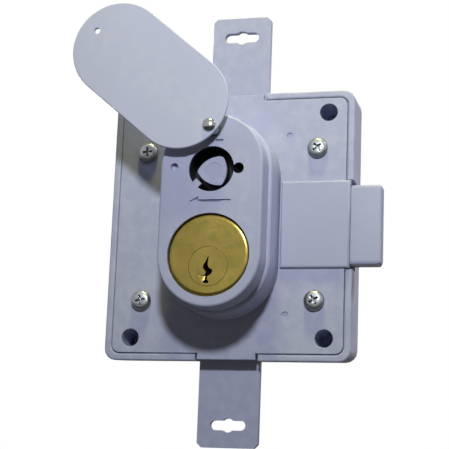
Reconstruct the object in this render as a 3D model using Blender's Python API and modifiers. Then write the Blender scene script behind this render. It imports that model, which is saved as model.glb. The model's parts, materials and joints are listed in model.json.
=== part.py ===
"""Meter box lock: a surface lock with a side bolt, two sliding bars, a triangular spindle and a cylinder.

Metres, +Z up. The front faces -Y, +X is to the right as the front is looked at, and the origin is the
centre of the case's back face. The lock is shown thrown, with its cover flap swung open.
"""
import math

import bmesh
import bpy
from mathutils import Matrix, Vector

MM = 0.001

# Clearances
GAP = 0.3 * MM
LAYER_GAP = 0.4 * MM
BITE = 1.0 * MM
WELD = 0.001 * MM

# Sides of round pieces and holes
SPRING_SIDES = 8
SMALL_SIDES = 12
SCREW_SIDES = 14
ROUND_SIDES = 16
SHAFT_SIDES = 20
PLUG_SIDES = 28
CYLINDER_SIDES = 36

# Case tray
CASE_WIDTH = 97 * MM
CASE_HEIGHT = 106 * MM
CASE_DEPTH = 17 * MM
CASE_CORNER = 4.5 * MM
RIM_WIDTH = 2.7 * MM
LEDGE_WIDTH = 1.0 * MM
FLOOR = 2 * MM

# Cover plate
COVER_THICKNESS = 1.5 * MM
COVER_CORNER = 3.0 * MM
TAB_WIDTH = 23 * MM
TAB_REACH = 2.4 * MM
BAND_WALL = 1.1 * MM
BAND_RAISE = 1.5 * MM
BAND_START = 1.6 * MM
BAND_REACH = 2.0 * MM
BAND_EDGE = 1.0 * MM
DIMPLE_X = 23 * MM
DIMPLE_Z = 35.2 * MM
DIMPLE_RADIUS = 1.2 * MM
DIMPLE_DEPTH = 0.5 * MM

# Fixing holes, cover screws and their pillars
FIXING_INSET_X = 10.3 * MM
FIXING_INSET_Z = 8.8 * MM
FIXING_RADIUS = 3.5 * MM
FIXING_PILLAR_RADIUS = 5.3 * MM
SCREW_INSET_X = 14.3 * MM
SCREW_INSET_Z = 23.2 * MM
SCREW_RADIUS = 2.0 * MM
SCREW_HEAD_RADIUS = 4.0 * MM
SCREW_HEAD_HEIGHT = 2.2 * MM
SCREW_LENGTH = 10 * MM
SCREW_PILLAR_RADIUS = 4.2 * MM
CROSS_LENGTH = 4.4 * MM
CROSS_WIDTH = 0.9 * MM
CROSS_DEPTH = 1.5 * MM
CROSS_SHARE = 0.75

# Boss housing
BOSS_X = -1.0 * MM
BOSS_Z = 16.7 * MM
BOSS_RADIUS = 19.1 * MM
BOSS_HEIGHT = 26 * MM
BOSS_FOOT_RADIUS = 20.0 * MM
BOSS_FOOT_HEIGHT = 15.5 * MM
BOSS_EDGE = 1.3 * MM
BOSS_FOOT_EDGE = 1.0 * MM
RECESS_RADIUS = 8.7 * MM
RECESS_DEPTH = 10 * MM
NOTCH_RADIUS = 2.0 * MM
NOTCH_OFFSET = 9.6 * MM
LUG_INNER = 7.3 * MM
LUG_WIDTH = 2.6 * MM
LUG_ANGLE = 225.0
CORE_INNER = 12.0 * MM
CORE_OUTER = 15.6 * MM
CORE_SPREAD = 50.0
CORE_FRONT_WALL = 8.0 * MM
MARK_X = 14.4 * MM
MARK_Z = 17.0 * MM
MARK_RADIUS = 1.7 * MM
MARK_DEPTH = 0.5 * MM
ARROW_Z = 4.1 * MM
ARROW_LENGTH = 15.8 * MM
ARROW_HEAD = 3.4 * MM
ARROW_HEAD_WIDTH = 2.9 * MM
ARROW_SHAFT_WIDTH = 0.8 * MM
ARROW_DEPTH = 0.3 * MM
HOUSING_SCREW_X = 14.0 * MM
HOUSING_SCREW_Z = 19.5 * MM
SMALL_SCREW_RADIUS = 1.5 * MM
SMALL_HEAD_RADIUS = 2.7 * MM
SMALL_HEAD_HEIGHT = 1.8 * MM
SMALL_SCREW_LENGTH = 9 * MM

# Spindle and its pinion
SPINDLE_Z = 16.0 * MM
TRIANGLE_RADIUS = 6.7 * MM
TRIANGLE_CORNER = 1.5 * MM
TRIANGLE_SETBACK = 3.6 * MM
TRIANGLE_EDGE = 0.3 * MM
SPINDLE_MARK_RADIUS = 2.9 * MM
COLLAR_RADIUS = 6.9 * MM
COLLAR_THICKNESS = 1.0 * MM
JOURNAL_RADIUS = 6.0 * MM
SQUARE = 7.6 * MM
TAIL_JOURNAL_RADIUS = 3.6 * MM
CLIP_RADIUS = 5.4 * MM
CLIP_THICKNESS = 0.7 * MM
CLIP_GROOVE_DEPTH = 1.0 * MM
CLIP_MOUTH = 50.0
BEARING_WALL = 2.6 * MM
BEARING_FLOOR = 1.3 * MM

# Gears and racks
MODULE = 1.5 * MM
TEETH = 11
PRESSURE_ANGLE = math.radians(20)
ADDENDUM = 0.95 * MM
DEDENDUM = 1.3 * MM
TOOTH_THINNING = 0.3 * MM

# Cylinder
CYLINDER_Z = -16.6 * MM
CYLINDER_RADIUS = 15.0 * MM
CYLINDER_SETBACK = 0.6 * MM
PLUG_DROP = 4.3 * MM
PLUG_RADIUS = 7.4 * MM
KEYWAY_WIDTH = 1.9 * MM
KEYWAY_TOP = 3.8 * MM
KEYWAY_STEP = 0.9 * MM
KEYWAY_DEPTH = 22 * MM
TANG = 6.0 * MM
PIN_COUNT = 5
PIN_PITCH = 4.0 * MM
PIN_FIRST = 4.0 * MM
PIN_RADIUS = 1.3 * MM
KEY_PIN_LENGTH = 4.6 * MM
DRIVER_LENGTH = 4.0 * MM
SPRING_WIRE = 0.2 * MM
SPRING_TURNS = 3
STRIP_WIDTH = 4.4 * MM
STRIP_THICKNESS = 0.8 * MM
STRIP_COVER = 1.2 * MM
CYLINDER_SCREW_X = 11.8 * MM
CYLINDER_SCREW_DROP = 2.4 * MM
CYLINDER_SCREW_RADIUS = 1.25 * MM
CYLINDER_HEAD_RADIUS = 2.2 * MM
CYLINDER_HEAD_HEIGHT = 1.5 * MM
CYLINDER_SCREW_LENGTH = 8 * MM
CAM_HEAD_RADIUS = 4.0 * MM
CAM_HEAD_HEIGHT = 1.1 * MM
CAM_SCREW_LENGTH = 6 * MM

# Bolt
BOLT_Z = -0.4 * MM
BOLT_HEIGHT = 31.2 * MM
BOLT_PROUD = 11 * MM
BOLT_NECK = 4.7 * MM
BOLT_RUNOUT = 1.9 * MM
BOLT_EDGE = 1.7 * MM
TAIL_THICKNESS = 4.4 * MM
TAIL_REACH = 8.0 * MM

# Bars
BAR_X = 0.6 * MM
BAR_WIDTH = 24 * MM
BAR_THICKNESS = 2.6 * MM
BAR_CORNER = 1.6 * MM
TOP_BAR_PROUD = 34.5 * MM
BOTTOM_BAR_PROUD = 32.3 * MM
CROSSPIECE = 3.5 * MM
BAR_SLOT_INSET = 8.5 * MM
BAR_SLOT_LENGTH = 14 * MM
BAR_SLOT_WIDTH = 3.8 * MM
BAR_SLOT_EYE = 2.7 * MM
LEG_WIDTH = 6.4 * MM
RACK_SPARE = 4.0 * MM
GUIDE_WIDTH = 2.0 * MM
RAIL_LENGTH = 16 * MM
RAIL_WIDTH = 4.0 * MM
RAIL_INSET = 2.5 * MM
BED_LENGTH = 16 * MM
BED_HEIGHT = 16 * MM

# Flap and its rivet
FLAP_RADIUS = 18.7 * MM
FLAP_THICKNESS = 1.3 * MM
FLAP_STAND_OFF = 4.3 * MM
FLAP_ANGLE = 139.7
FLAP_HOLE_RADIUS = 1.2 * MM
FLAP_HOLE_INSET = 6.6 * MM
RIVET_X = BOSS_X
RIVET_Z = 31.3 * MM
RIVET_INSET = 3.2 * MM
RIVET_RADIUS = 1.5 * MM
RIVET_HEAD_RADIUS = 2.5 * MM
RIVET_HEAD_HEIGHT = 1.3 * MM
RIVET_SHOULDER_RADIUS = 3.0 * MM
RIVET_SHANK = 5.5 * MM

# Levels along Y, from the back of the case to the front of the flap
FACE_Y = -CASE_DEPTH
COVER_BACK_Y = FACE_Y + COVER_THICKNESS
SEAT_Y = COVER_BACK_Y + GAP
TAIL_FRONT_Y = COVER_BACK_Y + GAP
BOLT_BACK_Y = TAIL_FRONT_Y + TAIL_THICKNESS
BOLT_FRONT_Y = FACE_Y + COVER_THICKNESS - BAND_RAISE + GAP
BAR_FRONT_Y = BOLT_BACK_Y + LAYER_GAP
BAR_BACK_Y = BAR_FRONT_Y + BAR_THICKNESS
CLIP_FRONT_Y = BAR_BACK_Y + GAP
CLIP_BACK_Y = CLIP_FRONT_Y + CLIP_THICKNESS
BEARING_TOP_Y = CLIP_BACK_Y + GAP
FLOOR_Y = -FLOOR
BOSS_FRONT_Y = FACE_Y - BOSS_HEIGHT
RECESS_Y = BOSS_FRONT_Y + RECESS_DEPTH
FLAP_BACK_Y = BOSS_FRONT_Y - FLAP_STAND_OFF
FLAP_FRONT_Y = FLAP_BACK_Y - FLAP_THICKNESS
CYLINDER_FRONT_Y = BOSS_FRONT_Y + CYLINDER_SETBACK
CYLINDER_BACK_Y = FACE_Y - GAP

# Places that follow from the sizes
FIXING_X = CASE_WIDTH / 2 - FIXING_INSET_X
FIXING_Z = CASE_HEIGHT / 2 - FIXING_INSET_Z
SCREW_X = CASE_WIDTH / 2 - SCREW_INSET_X
SCREW_Z = CASE_HEIGHT / 2 - SCREW_INSET_Z
BOLT_TIP_X = CASE_WIDTH / 2 + BOLT_PROUD
TOP_BAR_END = CASE_HEIGHT / 2 + TOP_BAR_PROUD
BOTTOM_BAR_END = CASE_HEIGHT / 2 + BOTTOM_BAR_PROUD
INNER_WIDTH = CASE_WIDTH - 2 * RIM_WIDTH
INNER_HEIGHT = CASE_HEIGHT - 2 * RIM_WIDTH
COVER_WIDTH = INNER_WIDTH - 2 * GAP
COVER_HEIGHT = INNER_HEIGHT - 2 * GAP
PITCH_RADIUS = MODULE * TEETH / 2
TRAVEL = PITCH_RADIUS * math.pi / 2
TOOTH_PITCH = math.pi * MODULE
PLUG_Z = CYLINDER_Z - PLUG_DROP
SPINDLE = Vector((BOSS_X, 0, SPINDLE_Z))
PLUG = Vector((BOSS_X, 0, PLUG_Z))
RIVET = Vector((RIVET_X, 0, RIVET_Z))
BAND_LEFT = BOSS_X + BOSS_FOOT_RADIUS + BAND_START
BAND_RIGHT = COVER_WIDTH / 2 + BAND_REACH
BAND_HEIGHT = BOLT_HEIGHT + 2 * (GAP + BAND_WALL)
PINION_PHASE = math.radians(90)
CAM_PHASE = -PINION_PHASE

# Colours
PAINT = (0.415, 0.42, 0.56)
PAINT_DARK = (0.44, 0.45, 0.53)
ZINC = (0.62, 0.62, 0.62)
STEEL = (0.45, 0.45, 0.46)
BRASS = (0.42, 0.30, 0.08)


def clear_scene():
    """Remove everything that the scene holds."""
    for obj in list(bpy.data.objects):
        bpy.data.objects.remove(obj, do_unlink=True)


def new_collection(name):
    """Make a collection linked to the scene."""
    collection = bpy.data.collections.new(name)
    bpy.context.scene.collection.children.link(collection)
    return collection


def material(name, colour, roughness, metallic):
    """Make a Principled BSDF material."""
    mat = bpy.data.materials.new(name)
    mat.use_nodes = True
    shader = mat.node_tree.nodes["Principled BSDF"]
    shader.inputs["Base Color"].default_value = (*colour, 1)
    shader.inputs["Roughness"].default_value = roughness
    shader.inputs["Metallic"].default_value = metallic
    return mat


def arc(centre, radius, start, end, steps):
    """Points of an arc from start to end degrees, both ends included."""
    points = []
    for step in range(steps + 1):
        angle = math.radians(start + (end - start) * step / steps)
        points.append((centre[0] + radius * math.cos(angle), centre[1] + radius * math.sin(angle)))
    return points


def circle(centre, radius, steps=ROUND_SIDES):
    """Points of a full circle."""
    return arc(centre, radius, 0, 360, steps)[:-1]


def rounded_box(left, right, low, high, radius, steps=4):
    """Outline of a box with round corners."""
    points = arc((right - radius, high - radius), radius, 0, 90, steps)
    points += arc((left + radius, high - radius), radius, 90, 180, steps)
    points += arc((left + radius, low + radius), radius, 180, 270, steps)
    points += arc((right - radius, low + radius), radius, 270, 360, steps)
    return points


def square(centre, side):
    """Outline of a square."""
    half = side / 2
    return [(centre[0] + x * half, centre[1] + z * half) for x, z in ((1, 1), (-1, 1), (-1, -1), (1, -1))]


def stadium(centre_x, low, high, radius, steps=14):
    """Outline of an upright stadium whose round ends are centred at low and high."""
    return arc((centre_x, high), radius, 0, 180, steps) + arc((centre_x, low), radius, 180, 360, steps)


def gear_outline(centre, phase):
    """Outline of a spur gear with involute teeth, one of them centred at the phase angle in radians."""
    base = PITCH_RADIUS * math.cos(PRESSURE_ANGLE)
    involute = math.tan(PRESSURE_ANGLE) - PRESSURE_ANGLE
    half = (TOOTH_PITCH / 2 - TOOTH_THINNING) / (2 * PITCH_RADIUS)
    flank = []
    for step in range(4):
        radius = base + (PITCH_RADIUS + ADDENDUM - base) * step / 3
        angle = math.acos(min(1.0, base / radius))
        flank.append((radius, half + involute - (math.tan(angle) - angle)))
    flank.insert(0, (PITCH_RADIUS - DEDENDUM, flank[0][1]))
    points = []
    for tooth in range(TEETH):
        middle = phase + 2 * math.pi * tooth / TEETH
        side = [(radius, middle - spread) for radius, spread in flank]
        side += [(radius, middle + spread) for radius, spread in reversed(flank)]
        points += [(centre[0] + r * math.cos(a), centre[1] + r * math.sin(a)) for r, a in side]
    return points


def rack_profile(start, end, shift):
    """Steps (along, height) of rack teeth between start and end, with a tooth space centred at shift."""
    half = (TOOTH_PITCH / 2 - TOOTH_THINNING) / 2
    tip = half - ADDENDUM * math.tan(PRESSURE_ANGLE)
    root = half + DEDENDUM * math.tan(PRESSURE_ANGLE)
    first = math.ceil((start + root - shift) / TOOTH_PITCH - 0.5)
    last = math.floor((end - root - shift) / TOOTH_PITCH - 0.5)
    steps = []
    for tooth in range(first, last + 1):
        middle = shift + (tooth + 0.5) * TOOTH_PITCH
        steps += [(middle - root, -DEDENDUM), (middle - tip, ADDENDUM)]
        steps += [(middle + tip, ADDENDUM), (middle + root, -DEDENDUM)]
    return steps


def rack_shift(direction, phase):
    """How far round from the contact at direction (radians) the gear's nearest tooth lies on the pitch line."""
    step = 2 * math.pi / TEETH
    return PITCH_RADIUS * math.remainder(phase - direction, step)


class Builder:
    """Makes the lock's pieces in one collection and its cutters in another."""

    def __init__(self):
        self.parts = new_collection("meter_box_lock")
        self.cutters = new_collection("cutters")
        self.materials = {}

    def add(self, name, mesh, location=(0, 0, 0)):
        """Add an object for the mesh to the parts."""
        obj = bpy.data.objects.new(name, mesh)
        obj.location = location
        self.parts.objects.link(obj)
        return obj

    def plate(self, name, outlines, front, back, origin=(0, 0, 0)):
        """A flat piece in the XZ plane between two levels, its first outline the edge and the rest holes."""
        curve = bpy.data.curves.new(name, "CURVE")
        curve.dimensions = "2D"
        curve.fill_mode = "BOTH"
        curve.extrude = (back - front) / 2
        for outline in outlines:
            spline = curve.splines.new("POLY")
            spline.points.add(len(outline) - 1)
            for point, (x, z) in zip(spline.points, outline):
                point.co = (x - origin[0], z - origin[2], 0, 1)
            spline.use_cyclic_u = True
        flat = bpy.data.objects.new(name + "_outline", curve)
        self.parts.objects.link(flat)
        flat.location = (origin[0], (front + back) / 2, origin[2])
        flat.rotation_euler = (math.pi / 2, 0, 0)
        bpy.context.view_layer.update()
        graph = bpy.context.evaluated_depsgraph_get()
        mesh = bpy.data.meshes.new_from_object(flat.evaluated_get(graph))
        shape = bmesh.new()
        shape.from_mesh(mesh)
        close_fill(shape)
        shape.to_mesh(mesh)
        shape.free()
        obj = self.add(name, mesh)
        obj.matrix_world = flat.matrix_world
        bpy.data.objects.remove(flat)
        return obj

    def rod(self, name, centre, radius, front, back, segments=ROUND_SIDES, origin=(0, 0, 0)):
        """A round bar along Y between two levels."""
        mesh = bpy.data.meshes.new(name)
        shape = bmesh.new()
        place = Matrix.Translation((centre[0] - origin[0], (front + back) / 2, centre[1] - origin[2]))
        bmesh.ops.create_cone(shape, cap_ends=True, segments=segments, radius1=radius, radius2=radius,
                              depth=back - front, matrix=place @ Matrix.Rotation(math.pi / 2, 4, "X"))
        shape.to_mesh(mesh)
        shape.free()
        return self.add(name, mesh, (origin[0], 0, origin[2]))

    def upright_rod(self, name, place, radius, low, high, segments=SMALL_SIDES):
        """A round bar along Z at place (x, y) between two heights."""
        mesh = bpy.data.meshes.new(name)
        shape = bmesh.new()
        bmesh.ops.create_cone(shape, cap_ends=True, segments=segments, radius1=radius, radius2=radius,
                              depth=high - low)
        shape.to_mesh(mesh)
        shape.free()
        return self.add(name, mesh, (place[0], place[1], (low + high) / 2))

    def block(self, name, low, high):
        """A box between two corners."""
        mesh = bpy.data.meshes.new(name)
        shape = bmesh.new()
        low, high = Vector(low), Vector(high)
        bmesh.ops.create_cube(shape, size=1, matrix=Matrix.Diagonal((*(high - low), 1)))
        shape.to_mesh(mesh)
        shape.free()
        return self.add(name, mesh, (low + high) / 2)

    def turned(self, name, profile, origin, segments=24):
        """A turned piece on an axis along Y; profile is (radius, level), from the front to the back."""
        mesh = bpy.data.meshes.new(name)
        shape = bmesh.new()
        verts = [shape.verts.new((radius, 0, -level)) for radius, level in profile]
        for first, second in zip(verts, verts[1:]):
            shape.edges.new((first, second))
        shape.to_mesh(mesh)
        shape.free()
        obj = self.add(name, mesh, (origin[0], 0, origin[2]))
        obj.rotation_euler = (math.pi / 2, 0, 0)
        screw = obj.modifiers.new("turn", "SCREW")
        screw.axis = "Z"
        screw.angle = 2 * math.pi
        screw.steps = segments
        screw.render_steps = segments
        screw.use_merge_vertices = True
        screw.merge_threshold = 0.00001
        return obj

    def combine(self, obj, other, operation):
        """Join or cut obj with another object, which becomes a hidden cutter."""
        boolean = obj.modifiers.new(operation.lower(), "BOOLEAN")
        boolean.operation = operation
        boolean.solver = "EXACT"
        boolean.object = other
        self.parts.objects.unlink(other)
        self.cutters.objects.link(other)
        other.hide_render = True
        other.display_type = "WIRE"

    def join(self, obj, *others):
        """Join other solids to obj."""
        for other in others:
            self.combine(obj, other, "UNION")

    def cut(self, obj, *others):
        """Cut other solids out of obj."""
        for other in others:
            self.combine(obj, other, "DIFFERENCE")

    def finish(self, obj, colour, roughness, metallic):
        """Give the piece its own material and shade its round faces smooth."""
        obj.data.materials.clear()
        obj.data.materials.append(material(obj.name, colour, roughness, metallic))
        obj.data.shade_smooth()
        obj.data.set_sharp_from_angle(angle=math.radians(35))
        return obj


def corner_on_open_edge(shape):
    """Find an open edge with another open edge's corner on it, and how far along the edge the corner is."""
    open_edges = [edge for edge in shape.edges if edge.is_boundary]
    open_corners = {vert for edge in open_edges for vert in edge.verts}
    for edge in open_edges:
        start, end = (vert.co for vert in edge.verts)
        for corner in open_corners.difference(edge.verts):
            share = (corner.co - start).dot(end - start) / (end - start).length_squared
            if 0 < share < 1 and (start.lerp(end, share) - corner.co).length < WELD:
                return edge, corner, share
    return None


def close_fill(shape):
    """Weld a filled outline's caps to its walls, with no faces of no area between corners in line."""
    bmesh.ops.remove_doubles(shape, verts=shape.verts, dist=WELD)
    empty = [face for face in shape.faces
             if 2 * face.calc_area() < WELD * max(edge.calc_length() for edge in face.edges)]
    bmesh.ops.delete(shape, geom=empty, context="FACES_ONLY")
    slit = corner_on_open_edge(shape)
    while slit:
        edge, corner, share = slit
        added = bmesh.utils.edge_split(edge, edge.verts[0], share)[1]
        added.co = corner.co
        bmesh.ops.remove_doubles(shape, verts=[added, corner], dist=WELD)
        slit = corner_on_open_edge(shape)
    bmesh.ops.recalc_face_normals(shape, faces=shape.faces)


def bevel_level(obj, level, width, segments):
    """Round the edges of a plate that lie in its local plane z = level."""
    shape = bmesh.new()
    shape.from_mesh(obj.data)
    edges = [edge for edge in shape.edges
             if all(abs(vert.co.z - level) < WELD for vert in edge.verts)
             and len(edge.link_faces) == 2
             and edge.calc_face_angle(0) > math.radians(60)]
    bmesh.ops.bevel(shape, geom=edges, offset=width, segments=segments, profile=0.5, affect="EDGES")
    shape.to_mesh(obj.data)
    shape.free()


def corners(x, z):
    """The four corner places (x, z), lower left first."""
    return [(side * x, level * z) for level in (-1, 1) for side in (-1, 1)]


def make_case(make):
    """The cast tray: floor, rim with ledge, pillars, bearing, rails, and gaps for the bars and the bolt."""
    half_x, half_z = CASE_WIDTH / 2, CASE_HEIGHT / 2
    case = make.plate("case", [rounded_box(-half_x, half_x, -half_z, half_z, CASE_CORNER)], FACE_Y, 0)
    inner_x, inner_z = INNER_WIDTH / 2, INNER_HEIGHT / 2
    pocket = rounded_box(-inner_x, inner_x, -inner_z, inner_z, COVER_CORNER + GAP)
    well_x, well_z = inner_x - LEDGE_WIDTH, inner_z - LEDGE_WIDTH
    well = rounded_box(-well_x, well_x, -well_z, well_z, COVER_CORNER)
    make.cut(case, make.plate("case_pocket", [pocket], FACE_Y - BITE, SEAT_Y))
    make.cut(case, make.plate("case_well", [well], FACE_Y - BITE, FLOOR_Y))
    grip = FLOOR_Y + FLOOR / 2
    for index, place in enumerate(corners(FIXING_X, FIXING_Z)):
        make.join(case, make.rod(f"fixing_pillar_{index}", place, FIXING_PILLAR_RADIUS, SEAT_Y, grip))
    for index, place in enumerate(corners(SCREW_X, SCREW_Z)):
        make.join(case, make.rod(f"screw_pillar_{index}", place, SCREW_PILLAR_RADIUS, SEAT_Y, grip, SMALL_SIDES))
    bearing = TAIL_JOURNAL_RADIUS + GAP + BEARING_WALL
    make.join(case, make.rod("bearing", (BOSS_X, SPINDLE_Z), bearing, BEARING_TOP_Y, grip))
    rail_y = BAR_BACK_Y + GAP
    for side in (-1, 1):
        near = well_z - RAIL_INSET
        low, high = sorted((side * near, side * (near - RAIL_WIDTH)))
        rail = make.block(f"rail_{side}", (BAR_X - RAIL_LENGTH / 2, rail_y, low),
                          (BAR_X + RAIL_LENGTH / 2, grip, high))
        make.join(case, rail)
    bed_right = well_x - BITE
    make.join(case, make.block("bolt_bed", (bed_right - BED_LENGTH, BOLT_BACK_Y + GAP, BOLT_Z - BED_HEIGHT / 2),
                               (bed_right, grip, BOLT_Z + BED_HEIGHT / 2)))
    top_leg, bottom_leg = leg_spans()
    guides = (("top_guide", leg_outer(1) + GAP, 1, top_leg), ("bottom_guide", leg_outer(-1) - GAP, -1, bottom_leg))
    for name, near, side, (low, high) in guides:
        left, right = sorted((near, near + side * GUIDE_WIDTH))
        make.join(case, make.block(name, (left, BOLT_BACK_Y + GAP, low), (right, grip, high)))
    for index, place in enumerate(corners(FIXING_X, FIXING_Z)):
        make.cut(case, make.rod(f"fixing_hole_{index}", place, FIXING_RADIUS, FACE_Y - BITE, FLOOR_Y))
    depth = FACE_Y + SCREW_LENGTH + GAP
    for index, place in enumerate(corners(SCREW_X, SCREW_Z)):
        make.cut(case, make.rod(f"screw_hole_{index}", place, SCREW_RADIUS + GAP, FACE_Y, depth, SMALL_SIDES))
    make.cut(case, make.rod("bearing_bore", (BOSS_X, SPINDLE_Z), TAIL_JOURNAL_RADIUS + GAP,
                            BEARING_TOP_Y - BITE, FLOOR_Y - BEARING_FLOOR + GAP))
    gap_half = BAR_WIDTH / 2 + GAP
    for side in (-1, 1):
        low, high = sorted((side * (well_z - BITE), side * (half_z + BITE)))
        make.cut(case, make.block(f"bar_gap_{side}", (BAR_X - gap_half, FACE_Y - BITE, low),
                                  (BAR_X + gap_half, rail_y, high)))
    band_low, band_high = band_span()
    make.cut(case, make.block("bolt_gap", (well_x - BITE / 2, FACE_Y - BITE, band_low - GAP),
                              (half_x + BITE, BOLT_BACK_Y + GAP, band_high + GAP)))
    return make.finish(case, PAINT, 0.42, 0.0)


def band_span():
    """Lowest and highest z of the cover's raised band."""
    return BOLT_Z - BAND_HEIGHT / 2, BOLT_Z + BAND_HEIGHT / 2


def leg_outer(side):
    """X of the outer edge of a bar's leg, on the right for side 1 and the left for side -1."""
    return BOSS_X + side * (PITCH_RADIUS + DEDENDUM + LEG_WIDTH)


def leg_spans():
    """Lowest and highest z of the top bar's leg and of the bottom bar's leg."""
    reach = PITCH_RADIUS + ADDENDUM + TRAVEL + BITE
    top = (SPINDLE_Z - RACK_SPARE - TOOTH_PITCH / 2, SPINDLE_Z + reach)
    shoulder = top[0] - 2 * TRAVEL - BITE
    bottom = (shoulder, SPINDLE_Z + RACK_SPARE + TOOTH_PITCH / 2)
    return top, bottom


def make_cover(make):
    """The cover plate with its two tabs, the raised band over the bolt, and its holes."""
    half_x, half_z = COVER_WIDTH / 2, COVER_HEIGHT / 2
    tab_left, tab_right = BAR_X - TAB_WIDTH / 2, BAR_X + TAB_WIDTH / 2
    band_low, band_high = band_span()
    outer = COVER_CORNER
    outline = arc((half_x - outer, half_z - outer), outer, 0, 90, 4)
    outline += [(tab_right, half_z), (tab_right, half_z + TAB_REACH)]
    outline += [(tab_left, half_z + TAB_REACH), (tab_left, half_z)]
    outline += arc((-half_x + outer, half_z - outer), outer, 90, 180, 4)
    outline += arc((-half_x + outer, -half_z + outer), outer, 180, 270, 4)
    outline += [(tab_left, -half_z), (tab_left, -half_z - TAB_REACH)]
    outline += [(tab_right, -half_z - TAB_REACH), (tab_right, -half_z)]
    outline += arc((half_x - outer, -half_z + outer), outer, 270, 360, 4)
    holes = [circle(place, FIXING_RADIUS) for place in corners(FIXING_X, FIXING_Z)]
    holes += [circle(place, SCREW_RADIUS + GAP, SMALL_SIDES) for place in corners(SCREW_X, SCREW_Z)]
    holes += [circle(place, SMALL_SCREW_RADIUS + GAP, SMALL_SIDES) for place in housing_screws()]
    holes += [circle(place, CYLINDER_SCREW_RADIUS + GAP, SMALL_SIDES) for place in cylinder_screws()]
    holes += [circle((BOSS_X, SPINDLE_Z), JOURNAL_RADIUS + GAP, SHAFT_SIDES)]
    holes += [circle((BOSS_X, PLUG_Z), TANG * math.sqrt(0.5) + GAP, SHAFT_SIDES)]
    cover = make.plate("cover_plate", [outline] + holes, FACE_Y, COVER_BACK_Y)
    band = make.block("band_block", (BAND_LEFT, FACE_Y - BAND_RAISE, band_low),
                      (BAND_RIGHT, SEAT_Y - 2 * GAP, band_high))
    shape = bmesh.new()
    shape.from_mesh(band.data)
    front = [edge for edge in shape.edges if all(vert.co.y < 0 for vert in edge.verts)]
    bmesh.ops.bevel(shape, geom=front, offset=BAND_EDGE, segments=2, profile=0.5, affect="EDGES")
    shape.to_mesh(band.data)
    shape.free()
    make.join(cover, band)
    wall = COVER_THICKNESS
    room_low, room_high = BOLT_Z - BOLT_HEIGHT / 2 - GAP, BOLT_Z + BOLT_HEIGHT / 2 + GAP
    make.cut(cover, make.block("band_room", (BAND_LEFT + wall, FACE_Y - BAND_RAISE + wall, room_low),
                               (BAND_RIGHT + BITE, COVER_BACK_Y + BITE, room_high)))
    for side in (-1, 1):
        make.cut(cover, make.rod(f"dimple_{side}", (DIMPLE_X, side * DIMPLE_Z), DIMPLE_RADIUS,
                                 FACE_Y - BITE, FACE_Y + DIMPLE_DEPTH, SMALL_SIDES))
    return make.finish(cover, PAINT, 0.42, 0.0)


def housing_screws():
    """Places (x, z) of the two screws that hold the boss housing from behind the cover."""
    return [(BOSS_X + side * HOUSING_SCREW_X, HOUSING_SCREW_Z) for side in (-1, 1)]


def cylinder_screws():
    """Places (x, z) of the two screws that hold the cylinder from behind the cover."""
    return [(BOSS_X + side * CYLINDER_SCREW_X, CYLINDER_Z - CYLINDER_SCREW_DROP) for side in (-1, 1)]


def recess_outline():
    """Outline of the key recess: a circle with a round notch on its right and a lug at its lower left."""
    meet = (RECESS_RADIUS ** 2 + NOTCH_OFFSET ** 2 - NOTCH_RADIUS ** 2) / (2 * NOTCH_OFFSET)
    opening = math.degrees(math.acos(meet / RECESS_RADIUS))
    turn = math.degrees(math.acos((meet - NOTCH_OFFSET) / NOTCH_RADIUS))
    centre = (BOSS_X, SPINDLE_Z)
    lug = math.degrees(math.asin(LUG_WIDTH / 2 / RECESS_RADIUS))
    lug_inner = math.degrees(math.asin(LUG_WIDTH / 2 / LUG_INNER))
    points = arc(centre, RECESS_RADIUS, opening, LUG_ANGLE - lug, 20)
    points += arc(centre, LUG_INNER, LUG_ANGLE - lug_inner, LUG_ANGLE + lug_inner, 2)
    points += arc(centre, RECESS_RADIUS, LUG_ANGLE + lug, 360 - opening, 12)
    points += arc((BOSS_X + NOTCH_OFFSET, SPINDLE_Z), NOTCH_RADIUS, -turn, turn, 8)[1:-1]
    return points


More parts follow.
